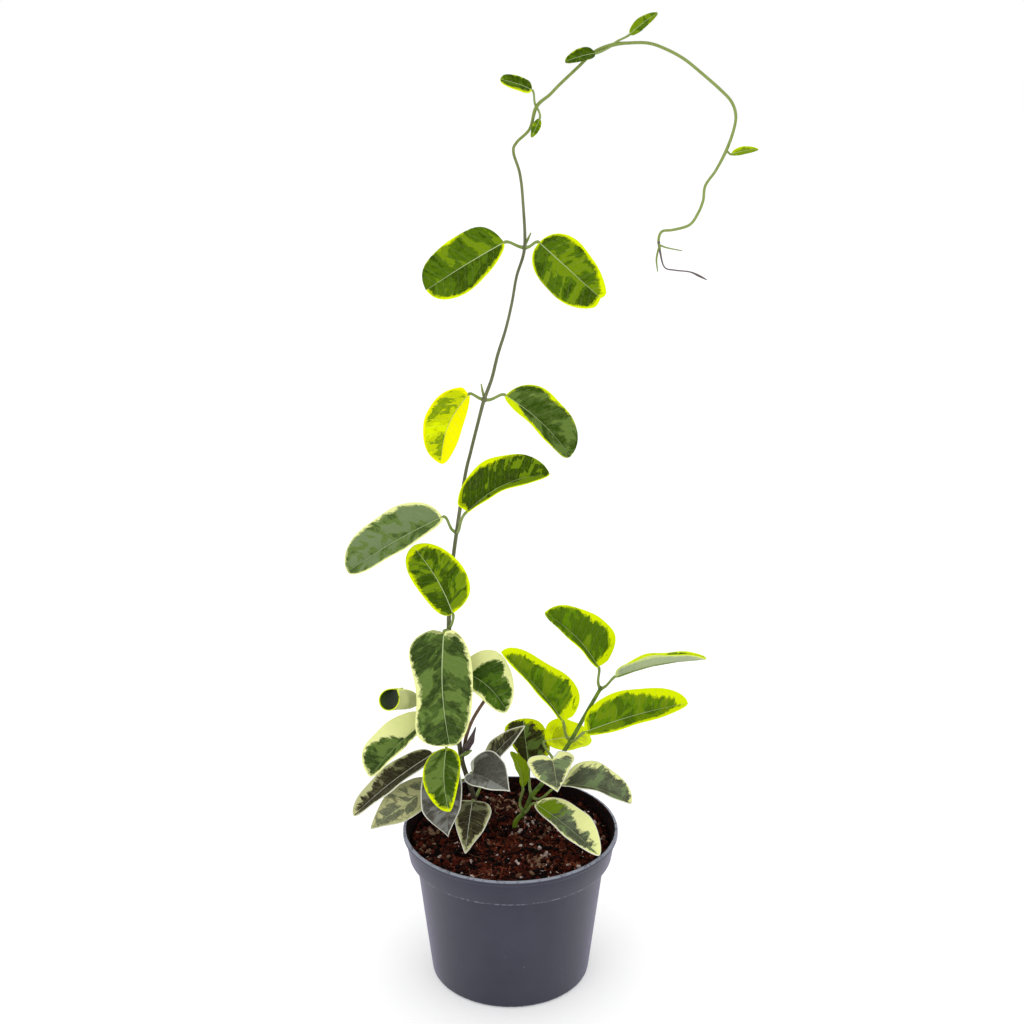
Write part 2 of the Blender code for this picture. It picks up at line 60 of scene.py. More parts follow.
# Leaves
CUSHION_LENGTH = 1.1
LEAF_ROWS = 56
LEAF_COLUMNS = 28
YOUNG_ROWS = 24
YOUNG_COLUMNS = 12
YOUNG_GROOVE = 0.1
VEIN_SPACING = 5.2
VEIN_SLANT = 0.5  # how far a side vein runs forward for each millimetre outward
PUCKER = 0.1  # height of the swellings between side veins
MARGIN_WAVES = 14.5  # angle in radians that the margin's waves run through along a leaf
WAVES_APART = 1.9  # how far the left margin's waves are ahead of the right's
GROOVE_REACH = 0.9  # how far the midrib's groove spreads
LOBE_REACH = 0.12  # share of the length over which a lobe fades
NOTCH_REACH = 0.1  # the same for a notch
BARE = (-1, -1, -1)  # margin widths of a half without a pale margin

# Stalks: how they thin out under the midrib, by place along the leaf, depth and share of the radius
STALK_STEPS = 14
STALK_END = ((0, 0.3, 0.9), (0.03, 0.85, 0.8), (0.08, 0.85, 0.7), (0.2, 0.75, 0.6), (0.4, 0.65, 0.5),
             (0.7, 0.5, 0.35), (0.92, 0.35, 0.2))
STALK_OVERLAP = 0.2  # how far a stalk stands in its cushion
YOUNG_STALK_RADIUS = 0.7
YOUNG_STALK_START = 0.4
CUSHION_SHAPE = ((0, 1.7), (0.35, 1.6), (0.6, 1.35), (0.85, 1.2), (1, 1.1))  # share of its length, radius

# Pot and soil
SOIL_TOP = 101
SOIL_BUMP = 1.1
SOIL_LUMPS = ((2.2, 0.06), (2.4, 0.17), (1.5, 0.5))  # height of the lumps and how close they lie
SOIL_EDGE = 69.6
SOIL_SIDE = ((93, 69.4), (88, 64.2), (3, 53.8))  # height and radius of the filling below its edge
SOIL_CELLS = 130
CRUMB_RADII = (0.7, 3)
GRANULE_RADII = (0.4, 2.1)
TAN_REACH = 10  # how near a tan patch's middle a crumb is paler

# Half of the pot's section from the middle of its floor round the lip and back: radius and height
POT_SECTION = [
    (0, 0), (54.9, 0), (55.9, 0.25), (56.5, 0.9), (56.8, 2), (66.95, 88.6), (67.1, 89.2), (67.6, 89.6),
    (71, 89.9), (71.6, 90.1), (71.9, 90.7), (74.2, 105), (74.25, 105.6), (74.6, 106.2), (75.6, 106.5),
    (76, 107), (76, 109.1), (75.7, 109.7), (75, 110), (74, 110), (73.3, 109.8), (72.9, 109.2), (72.7, 108.8),
    (70.2, 92), (66, 89), (65.4, 88), (54.6, 2.6), (53.9, 2), (0, 2),
]
POT_STEPS = 128
DRAIN_HOLES = 6
DRAIN_CIRCLE = 40
DRAIN_RADIUS = 4.5

# Patches of the potting mix: x and y
WHITE_SPOTS = [(-37, -20), (-40, -49), (65, 20), (15, 17), (7, 4), (21, -32)]
TAN_SPOTS = [(-6, 47), (-60, -2), (17, -35), (-2, 38)]
COIR_SPOTS = [(3, -5), (44, -39), (-14, -48), (-7, -19), (28, -8)]

# The twining stem, foot to arch: x, y, z and radius
VINE = [
    (-26, 13, 72, 1.8), (-26, 13, 86, 1.8), (-26, 13, 103, 1.8), (-25.5, 12.5, 112, 1.8),
    (-26, 12, 125, 1.8), (-31, 11, 143, 1.8), (-34, 11, 154, 1.75), (-36, 10, 170, 1.7), (-37, 9, 202, 1.7),
    (-40, 8, 229, 1.6), (-42, 6, 257, 1.6), (-41, 6, 278, 1.4), (-39, 5, 303, 1.3), (-36, 5, 326, 1.3),
    (-30, 4, 365, 1.15), (-26, 4, 382, 1.1), (-21, 3, 402, 1.1), (-17, 3, 417, 1.2), (-12, 2, 431, 1.1),
    (-8, 2, 447, 1.05), (-3, 1, 463, 0.95), (1, 1, 480, 0.9), (4, 0, 497, 0.9), (9, 0, 515, 1.0),
    (8, 0, 542, 0.9), (6, 0, 560, 0.9), (2, 0, 573, 0.9), (4, 0, 579, 0.9), (12, 0, 587, 0.95),
    (16, 0, 600, 1.1), (24, 0, 607, 0.95), (30, 0, 613, 0.95), (41, 0, 623, 0.95), (51, 0, 632, 1.0),
    (62, 0, 636, 1.2), (71, 0, 637, 0.95), (83, 0, 637, 0.95), (93, 0, 634, 0.95), (105, 0, 628, 0.95),
    (117, 0, 619, 0.95), (128, 0, 610, 0.95), (135, 0, 603, 0.95), (138, 0, 595, 0.95), (137, 0, 586, 0.95),
    (133, 0, 574, 1.05), (127, 0, 562, 0.9), (121, 0, 553, 0.9), (120, 0, 544, 0.9), (117, 0, 536, 0.9),
    (112, 0, 529, 0.9), (102, 0, 526, 0.85), (95, 0, 525, 0.85), (93, 0, 520, 0.85), (94, 0, 514, 0.8),
]

# The young stem on the right
BUSH = [
    (3, 11, 72, 1.7), (3, 11, 86, 1.7), (3, 11, 103, 1.7), (5, 10.7, 109, 1.7), (10, 10, 115, 1.7),
    (15, 9, 128, 1.7), (23, 7, 140, 1.6), (32, 5, 156, 1.55), (42, 3, 174, 1.5), (52, 1, 195, 1.4),
    (62, 0, 215, 1.3),
]

# Where the vine's leaves and shoots leave it, numbered from the tip of the arch down
NODE_2 = (133, 0, 574)
NODE_3 = (62, 0, 636)
NODE_4 = (16, 0, 600)
NODE_5 = (9, 0, 515)
NODE_6 = (-17, 3, 417)
NODE_7 = (-36, 5, 326)
NODE_8 = (-42, 6, 257)
NODE_9 = (-38, 8.5, 215)
NODE_10 = (-36, 10, 170)
NODE_11 = (-34, 11, 154)
NODE_12 = (-30, 11, 141)
NODE_13 = (-26, 12, 124)

# The same on the young stem, from the soil up
FORK = (10, 10, 115)
CROTCH = (15, 9, 128)
BUSH_MIDDLE = (32, 5, 156)
BUSH_2 = (42, 3, 174)
BUSH_1 = (62, 0, 215)

# Stage, in metres: each light's name, place, size and power
LIGHTS = (
    ("key", (-0.9, -1.2, 1.7), 1.2, 4.5),
    ("fill", (1.3, -1.0, 0.9), 1.4, 1.8),
    ("top", (0.1, 0.7, 1.9), 1.6, 3),
)
LIGHTS_AIM = (0, 0, 0.3)
FLOOR_SIZE = 60
FLOOR_LEVEL = -0.0005
CAMERA_PLACE = (0.0011, -0.903, 0.611)
CAMERA_TILT = math.radians(90 - 16.6)
LENS = 50
SENSOR_WIDTH = 36


@dataclass
class Leaf:
    """One leaf: where it hangs, which way its upper face looks, the shape of its halves and its pattern."""

    name: str
    node: tuple
    base: tuple
    tip: tuple
    face: tuple
    left: tuple  # half width at 15, 50 and 85 % of the length
    right: tuple
    fold: float = 8  # degrees that each half rises from the midrib
    cup: float = 10  # degrees more by its margin
    arch: float = 3  # rise of the midrib at mid length
    bend: float = 0  # sideways bow of the midrib, plus to the left
    lobe: tuple = (0, 0)  # reach of the left and right halves behind the stalk
    notch: float = 0  # depth of a dent in the tip
    tail: float = 0  # how pointed the tip is
    wave: float = 0.6  # height of the margin's waves
    phase: float = 0  # where along the margin the waves begin
    square: float = 0.5  # how far the stalk's start is turned square to the stem
    look: str = "fresh"
    pale: tuple = (BARE, BARE)  # width of the left and right pale margins at the same three places
    shade: tuple = (0, 0)  # how much lighter the left and the right half are


VINE_LEAVES = [
    Leaf("vine_leaf_5_left", NODE_5, (-4, -8, 519), (-52, -20, 491), (-0.05, -0.9, 0.45), (8, 16, 14),
         (16, 18, 14), fold=6, arch=2, look="vivid", pale=((1.8, 0.5, 0.9), (-1.2, 0.9, -1.2)),
         shade=(-0.2, 0)),
    Leaf("vine_leaf_5_right", NODE_5, (18, -8, 519), (56, -20, 486), (0.1, -0.9, 0.45), (14, 16, 10),
         (15, 21, 17), bend=-1, notch=3, phase=1, look="vivid", pale=((0.8, 1.8, 2), (0.6, -0.6, 0.9)),
         shade=(0.35, 0.1)),
    Leaf("vine_leaf_6_left", NODE_6, (-27, 0, 421), (-45, -12, 378), (-0.2, -0.9, 0.35), (6, 12, 8),
         (14, 16, 12), fold=20, bend=-4, lobe=(0, 4), look="yellow", pale=((24, 24, 24), (1.5, 1, 1))),
    Leaf("vine_leaf_6_right", NODE_6, (-3, -2, 421), (39, -12, 383), (0.35, -0.7, 0.6), (16, 18, 14),
         (8, 12, 11), fold=22, bend=1.5, phase=2, look="meadow", pale=((0.5, 1.9, -1), (5, 1.5, -0.4))),
    Leaf("vine_leaf_7_right", NODE_7, (-28, -16, 347), (25, -30, 376), (-0.5, -0.55, 0.65), (17, 19, 14),
         (9, 13, 10), fold=30, bend=5, lobe=(6, 0), look="deep", pale=((0.5, 2.9, -0.8), (0.4, 0.8, 0.1)),
         shade=(0.1, 0.5)),
    Leaf("vine_leaf_7_left", NODE_7, (-45, -2, 339), (-107, -18, 306), (-0.2, -0.65, 0.75), (11, 17, 13),
         (17, 20, 15), fold=25, phase=3, look="misty", pale=((1.4, 1, 0.3), (1.6, 2.5, 0.8)),
         shade=(0, 0.3)),
    Leaf("vine_leaf_8_up", NODE_8, (-39, -2, 271), (-64, -12, 322), (0.4, -0.9, 0), (10, 15, 13),
         (16, 19, 13), bend=-2, look="lime", pale=((1.3, 1.5, 2), (1.4, 1.4, 2))),
    Leaf("vine_leaf_8_down", NODE_8, (-45, -4, 258), (-41, -28, 185), (0.05, -0.93, 0.37), (17, 21, 14),
         (23, 18, 21), bend=-3, lobe=(3, 3), phase=1, look="cloudy", pale=((2.2, 1.2, 0.9), (0.2, 3, 1.6)),
         shade=(0.1, -0.1)),
    Leaf("vine_leaf_9_right", NODE_9, (-36, 0, 229), (-2, -22, 208), (-0.2, -0.65, 0.75), (20, 22, 14),
         (8, 11, 8), fold=20, bend=4, look="fern", pale=((7, 5, 1.5), (1.2, 1.5, 1)), shade=(-0.3, -0.1)),
    Leaf("vine_leaf_9_rolled", NODE_9, (-71, -4, 203), (-83, -37, 216), (0.25, 0.1, 0.95), (16, 21, 20),
         (16, 21, 20), fold=0, cup=172, arch=0, wave=0, look="rolled", pale=((0.5, 1, 1), (0.5, 1, 1)),
         shade=(-0.2, -0.2)),
    Leaf("vine_leaf_10_left", NODE_10, (-56, 0, 193), (-97, -17, 157), (-0.4, -0.53, 0.75), (9, 12, 8),
         (13, 17, 15), fold=25, phase=2, look="cloudy", pale=((2.5, 2.4, 0.8), (9, 8.5, 1.5))),
    Leaf("vine_leaf_10_front", NODE_10, (-44, -14, 177), (-42, -30, 137), (0.05, -0.93, 0.37),
         (10, 10.5, 5), (12, 14.5, 9), bend=-2.5, look="meadow", pale=((0.8, 1, 1), (0.6, 1.2, 1.6))),
    Leaf("vine_leaf_11_left", NODE_11, (-54, 4, 164), (-110, -8, 122), (-0.5, -0.42, 0.76), (9, 11, 7),
         (10, 12.5, 9), fold=14, phase=1, look="bark", pale=((0.6, 0.8, 0.6), (1, 2, 4)),
         shade=(-0.4, -0.3)),
    Leaf("vine_leaf_11_front", NODE_11, (-46, -7, 166), (-43, -23, 113), (0.05, -0.95, 0.3), (10, 11, 6),
         (14, 18, 14), tail=1, phase=3, look="slate", pale=((0.3, 0.3, 0.3), (0.3, 0.5, 0.3))),
    Leaf("vine_leaf_12_left", NODE_12, (-52, 0, 142), (-97, -18, 117), (-0.1, -0.7, 0.7), (9, 12, 6),
         (11, 13.5, 9), tail=0.6, look="mottled", pale=((1.5, 2, 1), (2, 2.5, 2))),
    Leaf("vine_leaf_12_right", NODE_12, (-27, 2, 150), (0, -22, 148), (-0.3, -0.45, 0.85), (18, 17, 12),
         (10.5, 10, 6), tail=1, fold=15, lobe=(6, 3), look="slate", pale=((0.2, 0.2, 0.2), (0.3, 0.3, 0.3)),
         shade=(-0.3, 0.4)),
    Leaf("vine_leaf_13_front", NODE_13, (-27, 4, 127), (-31, -32, 106), (0, -0.5, 0.85), (14, 13, 6.5),
         (12, 10, 5), tail=0.6, look="bark", pale=((1.5, 1.5, 1.5), (1, 1.5, 1.5))),
    Leaf("vine_leaf_13_right", NODE_13, (-18, 22, 144), (10, 2, 186), (-0.78, -0.48, 0.4), (8, 8, 5),
         (10, 10.5, 7), tail=0.6, fold=15, look="bark", pale=((3, 2, 0.5), (0.3, 0.3, 0.3))),
]

BUSH_LEAVES = [
    Leaf("bush_leaf_1_left", BUSH_1, (60, -4, 233), (23, -14, 276), (0.65, -0.65, 0.4), (7, 10, 7),
         (21, 20, 13), fold=28, bend=-2, lobe=(0, 3), look="fresh",
         pale=((0.3, 0.4, -0.6), (2.5, 3.5, 0.8))),
    Leaf("bush_leaf_1_right", BUSH_1, (72, -6, 227), (131, -20, 245), (-0.2, 0.3, 0.93), (12, 12, 8),
         (12, 14, 9), fold=25, phase=1, look="silver", pale=((2, 2, 1), (2, 2, 1))),
    Leaf("bush_leaf_2_left", BUSH_2, (36, -4, 193), (-6, -16, 249), (0.7, -0.57, 0.4), (9, 12, 8),
         (21, 18, 11), fold=35, lobe=(0, 4), phase=2, look="fresh", pale=((1, 1.5, 2), (4, 5, 3)),
         shade=(0.3, 0.15)),
    Leaf("bush_leaf_2_right", BUSH_2, (51, -12, 188), (119, -26, 216), (-0.4, -0.5, 0.77), (16, 18, 12),
         (9, 12, 8), fold=20, look="fresh", pale=((2, 3.2, 3.6), (1.2, 1.5, 3)), shade=(0.25, 0.3)),
    Leaf("bush_leaf_3_back", BUSH_MIDDLE, (25, 22, 165), (58, 40, 159), (0.35, -0.47, 0.82), (13, 13, 8),
         (12, 13, 8), fold=15, look="glow", pale=((4, 5, 4), (1, 2, 2))),
    Leaf("bush_leaf_3_front", BUSH_MIDDLE, (29, -4, 164), (32, -34, 154), (0, -0.3, 0.95), (15, 10.5, 6),
         (17, 17.5, 12), tail=0.9, lobe=(7, 3), phase=1, look="dusk", pale=((2.5, 2, 0.8), (3.5, 4, 1))),
    Leaf("bush_leaf_4_back", CROTCH, (13, 27, 144), (9, 40, 174), (0, -0.93, 0.37), (5, 11, 14),
         (15, 17, 13), look="olive", pale=((0.3, 0.3, 1), (2, 2, 2.5)), shade=(-1, 0.1)),
    Leaf("bush_leaf_4_right", CROTCH, (36, -8, 146), (83, -26, 141), (-0.05, -0.25, 0.96), (17, 17, 11),
         (8, 11, 8), fold=28, bend=2.5, square=0.8, look="dusk", pale=((3, 3.5, 2), (1.2, 0.8, 0.6))),
    Leaf("bush_leaf_5_right", FORK, (18, -6, 130), (60, -50, 115), (-0.05, -0.35, 0.94), (11, 15, 13),
         (7, 11, 10.5), tail=0.5, fold=25, phase=2, look="tender", pale=((2, 6, 7), (1, 1, 2))),
    Leaf("bush_leaf_5_left", FORK, (9, 11, 134), (0, 15, 160), (0.74, -0.48, 0.46), (5, 7, 4), (5, 7, 4),
         fold=15, square=0.8, look="plain", pale=(BARE, BARE)),
]

YOUNG_LEAVES = [
    Leaf("young_2", NODE_2, (136, -2, 572), (152, -5, 575), (0, -0.8, 0.6), (2.4, 3, 1.6), (2, 2.6, 1.4),
         arch=1, wave=0.15, look="plain", pale=((0.3, 0.3, 0.3), BARE)),
    Leaf("young_3_right", NODE_3, (72, -1, 642), (88, -4, 654), (-0.3, -0.85, 0.4), (3, 4, 2.2),
         (3, 3.6, 2), arch=1, wave=0.15, look="young", pale=(BARE, BARE), shade=(0.5, 0.5)),
    Leaf("young_3_left", NODE_3, (51, -3, 631), (33, -7, 626), (0, -0.8, 0.6), (3.5, 4, 2.5), (4.5, 5, 3),
         arch=1, wave=0.15, look="young", pale=(BARE, BARE), shade=(-0.8, -0.8)),
    Leaf("young_4_left", NODE_4, (13, -3, 610), (-6, -7, 616), (0.2, -0.8, 0.6), (4.5, 5.5, 4), (4.5, 5, 4),
         arch=1, wave=0.15, look="young", pale=((0.9, 0.5, 0.1), BARE), shade=(-0.4, -0.4)),
    Leaf("young_4_low", NODE_4, (18, -3, 593), (13, -5, 582), (0.3, -0.9, 0.2), (2, 2.6, 1.4),
         (2, 2.6, 1.4), arch=0, wave=0.15, look="young", pale=(BARE, BARE), shade=(0.4, 0.4)),
]
BRACT = Leaf("bract", NODE_11, (-33, 7, 165), (-24, 5, 184), (0.3, -0.9, 0.2), (3, 2.5, 1), (3, 3, 1),
             arch=2, fold=30, look="dry", pale=((0.2, 0.2, 0.2), (0.2, 0.2, 0.2)))

# Twigs: points with a radius, and the finish of each
TWIGS = [
    ("dry_end_left", "green", [(93.5, 0, 516, 0.6), (92, 0, 508, 0.6), (93, 0, 500, 0.35)]),
    ("dry_end_right", "green", [(93, 0, 517, 0.6), (98, 0, 515, 0.5), (108, 0, 513, 0.3)]),
    ("dry_end_low", "dry", [(93, 0, 519, 0.95), (94, 0, 513, 0.7), (97, -1, 503, 0.45), (104, -1, 501, 0.45),
                            (113, -1, 500, 0.45), (119, -1, 497.5, 0.75), (124, -1, 495, 0.3)]),
    ("bud_5", "green", [(9, 0, 516, 0.8), (11, 1, 520, 0.8), (13, 2, 524, 0.4)]),
    ("bud_6", "green", [(-17, 3, 418, 0.8), (-18, 5, 422, 0.8), (-19, 6, 427, 0.4)]),
    ("side_shoot", "woody", [(-34, 11, 156, 1.2), (-31, 8, 175, 1.3), (-26, 5, 190, 1.2), (-18, 2, 205, 1.2),
                             (-13, 0, 213, 1.0)]),
    ("tiny_shoot", "green", [(-34, 11, 154, 1.0), (-35, 7, 160, 1.0), (-31, 4, 164, 1.5),
                             (-27, 3, 167, 0.5)]),
]


@dataclass
class Look:
    """The colours of one kind of leaf, by their names in the palette."""

    dark: str
    middle: str
    light: str
    margin: str
    under: str
    light_share: float = 0.4  # how much of the leaf is the light colour
    dark_share: float = 0.35
    jagged: float = 1.0  # how ragged the pale margin's inner edge is
    rim: float = 0  # width of the white edge in millimetres
    size: float = 1.0  # how large the patches are
    rib: str = "rib"
    spots: float = 0  # how many brown specks there are
    base: str = ""  # another colour by the stalk


LOOKS = {
    "vivid": Look("deep_green", "leaf_green", "spring_green", "lime", "soft_green", 0.3, 0.3, size=1.5,
                  spots=0.4),
    "fresh": Look("leaf_green", "bright_green", "spring_green", "lime", "soft_green", 0.45, 0.45),
    "silver": Look("leaf_green", "bright_green", "spring_green", "lime", "silver_green", 0.45, 0.45),
    # rolled: the upper face, inside the roll, is mostly deep green, partly the leaf's own green and partly
    # painted shade inside the roll.
    "rolled": Look("deep_green", "deep_green", "leaf_green", "lime", "cream", 0.3, 0.5),
    "deep": Look("forest", "deep_green", "spring_green", "lime", "soft_green", 0.1, 0.3, size=1.2),
    "lime": Look("deep_green", "leaf_green", "spring_green", "lime", "soft_green", 0.6, 0.4, 1.3, spots=0.4),
    "yellow": Look("spring_green", "citrus", "lime", "bright_yellow", "citrus", 0.4, 0.1, size=1.4,
                   spots=1),
    "glow": Look("yellow_green", "citrus", "lime", "lime", "yellow_green", 0.4, 0.3),
    "plain": Look("spring_green", "spring_green", "yellow_green", "lime", "soft_green", 0.1, 0.2),
    "meadow": Look("deep_green", "moss", "grey_green", "lime", "soft_green", 0.5, 0.3, 1.3),
    "fern": Look("deep_green", "leaf_green", "grey_green", "cream", "soft_green", 0.1, 0.6),
    "misty": Look("moss", "grey_green", "pale_grey", "cream", "pale_grey", 0.5, 0.2, 1.4),
    "cloudy": Look("forest", "moss", "grey_green", "cream", "soft_green", 0.4, 0.4, 1.3),
    "dusk": Look("dusk_green", "ash_green", "pale_grey", "cream", "khaki", 0.35, 0.3, 1.4, 0.4,
                 rib="pale_khaki"),
    "tender": Look("dusk_green", "ash_green", "pale_grey", "cream", "khaki", 0.35, 0.3, 1.4, 0.3,
                   base="spring_green"),
    "olive": Look("olive_brown", "brown_green", "grey_green", "lime", "khaki", 0.85, 0.1, 1.4),
    "mottled": Look("ash_green", "khaki", "pale_khaki", "pale_khaki", "khaki", 0.7, 0.3, 2, 0.3),
    "bark": Look("olive_brown", "brown_green", "khaki", "pale_khaki", "khaki", 0.25, 0.45, 1.8, 0.5,
                 rib="ivory"),
    "slate": Look("slate", "ash", "pale_ash", "pale_ash", "ash", 0.4, 0.5, 1, 0.7, rib="pale_ash"),
    "young": Look("deep_green", "leaf_green", "spring_green", "lime", "soft_green", 0.4, 0.3, 0.5),
    "dry": Look("dry_purple", "dry_purple", "ash", "ash", "ash", 0.3),
}


def linear(code):
    """A #rrggbb colour as linear red, green and blue."""
    parts = [int(code[i:i + 2], 16) / 255 for i in (1, 3, 5)]
    return tuple(c / 12.92 if c <= 0.04045 else ((c + 0.055) / 1.055) ** 2.4 for c in parts)


def swatch(name, code, description):
    return bpy.props.FloatVectorProperty(name=name, description=description, subtype="COLOR", size=3,
                                         min=0, max=1, default=linear(code))


def measure(name, millimetres, description):
    return bpy.props.FloatProperty(name=name, description=description, default=millimetres * MM,
                                   unit="LENGTH")


def number_of(name, default, description):
    return bpy.props.IntProperty(name=name, description=description, default=default, min=0)


class JasmineSizes(bpy.types.PropertyGroup):
    leaf_thickness: measure("Leaf thickness", 0.6, "Thickness of a leaf's blade")
    stalk_radius: measure("Leaf stalk radius", 1.0, "Radius of a leaf's stalk by the stem")
    groove_depth: measure("Midrib groove", 0.35, "Depth of the groove over a leaf's midrib")
    crumbs: number_of("Bark crumbs", 2400, "Number of bark crumbs on the soil")
    granules: number_of("Pale granules", 260, "Number of perlite granules on the soil")
    fibres: number_of("Fibres", 620, "Number of loose fibres on the soil")


class JasmineColours(bpy.types.PropertyGroup):
    lime: swatch("Lime margin", "#d6e800", "Margin of the upper leaves")
    bright_yellow: swatch("Bright yellow", "#f2ef00", "The yellowest halves of leaves")
    yellow_green: swatch("Yellow green", "#9fae0a", "Leaves with little green")
    citrus: swatch("Citrus", "#bcca08", "Middle of the yellowest leaves")
    cream: swatch("Cream margin", "#e9eda0", "Margin of the lower leaves")
    ivory: swatch("Ivory rim", "#dedecf", "Thin edge of the oldest leaves")
    spring_green: swatch("Spring green", "#6f8a0e", "Light patches of the upper leaves")
    bright_green: swatch("Bright green", "#587e06", "Middle of the young stem's leaves")
    leaf_green: swatch("Leaf green", "#45640a", "Middle of the upper leaves")
    deep_green: swatch("Deep green", "#2c4604", "Dark patches of the upper leaves")
    forest: swatch("Forest green", "#2b3d12", "Dark patches of the lower leaves")
    moss: swatch("Moss green", "#445a22", "Middle of the lower leaves")
    grey_green: swatch("Grey green", "#627a36", "Greyish patches of the upper leaves")
    pale_grey: swatch("Pale grey green", "#74865a", "Greyish patches of the lower leaves")
    soft_green: swatch("Underside green", "#8a9c55", "Undersides")
    silver_green: swatch("Silver green", "#c4ccae", "Palest undersides")
    khaki: swatch("Khaki", "#6f7150", "Light patches of the oldest leaves")
    pale_khaki: swatch("Pale khaki", "#b7b884", "Margin of the oldest leaves")
    brown_green: swatch("Brown green", "#3a361c", "Middle of the oldest leaves")
    olive_brown: swatch("Olive brown", "#2a2412", "Dark patches of the oldest leaves")
    dusk_green: swatch("Dusk green", "#4c5040", "Middle of the greyish young leaves")
    ash_green: swatch("Ash green", "#5d634e", "Lighter patches of the greyish young leaves")
    slate: swatch("Slate", "#4b4840", "Dark patches of the grey leaves")
    ash: swatch("Ash", "#65625a", "Middle of the grey leaves")
    pale_ash: swatch("Pale ash", "#82847e", "Light patches of the grey leaves")
    rib: swatch("Midrib", "#b9c894", "Midribs and side veins")
    dry_purple: swatch("Dry purple", "#5e4a55", "Dried ends and the bract")
    stem_green: swatch("Stem green", "#7d8e42", "Young parts of the stems")
    stem_grey: swatch("Stem grey", "#666a4a", "Middle of the twining stem")
    stem_brown: swatch("Stem brown", "#44372d", "Foot of the twining stem and the cut shoot")
    plastic: swatch("Pot plastic", "#12161d", "The pot")
    # Also paints the highlight along the pot's lip and band.
    scuff_and_highlight: swatch("Scuffed plastic", "#8a8f99", "Scuffs and dust on the pot")
    soil_dark: swatch("Dark soil", "#0c0605", "Hollows of the potting mix")
    soil_red: swatch("Red soil", "#551e10", "Peat and coir of the potting mix")
    coir: swatch("Coir", "#8a4329", "Coir fibres")
    bark_tan: swatch("Tan bark", "#94745a", "Light bark crumbs")
    perlite: swatch("Perlite", "#dccdc6", "White granules")
    pot_inside: swatch("Pot inside", "#120a0b", "The pot's inner wall, stained by the soil")


def arithmetic(operation, swapped=False):
    """A method that adds a Math node for a field and another value; swapped puts the other value first."""
    def method(field, other):
        values = (other, field) if swapped else (field, other)
        return field.math(operation, *values)
    return method


class Field:
    """A value that varies over a surface. Arithmetic on it adds Math nodes to its material."""

    def __init__(self, board, socket):
        self.board = board
        self.socket = socket

    def math(self, operation, *values):
        made = self.board.tree.nodes.new("ShaderNodeMath")
        made.operation = operation
        for place, value in enumerate(values):
            self.board.feed(made.inputs[place], value)
        return Field(self.board, made.outputs[0])

    __add__ = arithmetic("ADD")
    __radd__ = arithmetic("ADD", swapped=True)
    __sub__ = arithmetic("SUBTRACT")
    __rsub__ = arithmetic("SUBTRACT", swapped=True)
    __mul__ = arithmetic("MULTIPLY")
    __rmul__ = arithmetic("MULTIPLY", swapped=True)
    __truediv__ = arithmetic("DIVIDE")

    def __abs__(self):
        return self.math("ABSOLUTE", self)

    def above(self, level, softness):
        """0 below the level, 1 above it, with a ramp of that half width between."""
        made = self.board.node("ShaderNodeMapRange", {"interpolation_type": "SMOOTHSTEP", "clamp": True}, {
            "Value": self, "From Min": level - softness, "From Max": level + softness})
        return Field(self.board, made.outputs[0])


class Board:
    """One material and its node tree."""

    def __init__(self, name):
        self.material = bpy.data.materials.new(name)
        self.material.use_nodes = True
        self.tree = self.material.node_tree
        self.shader = self.tree.nodes["Principled BSDF"]

    def feed(self, socket, value):
        if isinstance(value, Field):
            self.tree.links.new(value.socket, socket)
        else:
            socket.default_value = value

    def node(self, kind, settings, inputs):
        made = self.tree.nodes.new(kind)
        for key, value in settings.items():
            setattr(made, key, value)
        for key, value in inputs.items():
            self.feed(made.inputs[key], value)
        return made

    def places(self):
        return Field(self, self.node("ShaderNodeTexCoord", {}, {}).outputs["Object"])

    def attribute(self, name, output="Vector"):
        return Field(self, self.node("ShaderNodeAttribute", {"attribute_name": name}, {}).outputs[output])

    def split(self, vector):
        made = self.node("ShaderNodeSeparateXYZ", {}, {"Vector": vector})
        return [Field(self, output) for output in made.outputs]

    def vector(self, x, y, z):
        return Field(self, self.node("ShaderNodeCombineXYZ", {}, {"X": x, "Y": y, "Z": z}).outputs[0])

    def stretch(self, vector, scale):
        made = self.node("ShaderNodeVectorMath", {"operation": "MULTIPLY"}, {0: vector, 1: scale})
        return Field(self, made.outputs[0])

    def noise(self, vector, scale, detail=2, roughness=0.5, distortion=0):
        made = self.node("ShaderNodeTexNoise", {}, {
            "Vector": vector, "Scale": scale, "Detail": detail, "Roughness": roughness,
            "Distortion": distortion})
        return Field(self, made.outputs[0])

    def mix(self, share, low, high):
        made = self.node("ShaderNodeMix", {"data_type": "RGBA"}, {0: share, 6: low, 7: high})
        return Field(self, made.outputs[2])

    def bump(self, height, distance, strength=1):
        made = self.node("ShaderNodeBump", {}, {"Height": height, "Distance": distance, "Strength": strength})
        return Field(self, made.outputs[0])

    def uniform(self, **values):
        """Sets values that are the same all over on the shader's own sockets, named in lower case."""
        for key, value in values.items():
            self.shader.inputs[key.replace("_", " ").title()].default_value = value

    def finish(self, colour, roughness, normal=None, specular=0.5):
        self.feed(self.shader.inputs["Base Color"], colour)
        self.feed(self.shader.inputs["Roughness"], roughness)
        if normal is not None:
            self.feed(self.shader.inputs["Normal"], normal)
        self.shader.inputs["Specular IOR Level"].default_value = specular
        return self.material


def palette(name):
    return (*getattr(bpy.context.scene.jasmine_colours, name), 1)


def once(name, maker):
    """The material of that name, made on its first use."""
    return bpy.data.materials.get(name) or maker(name)


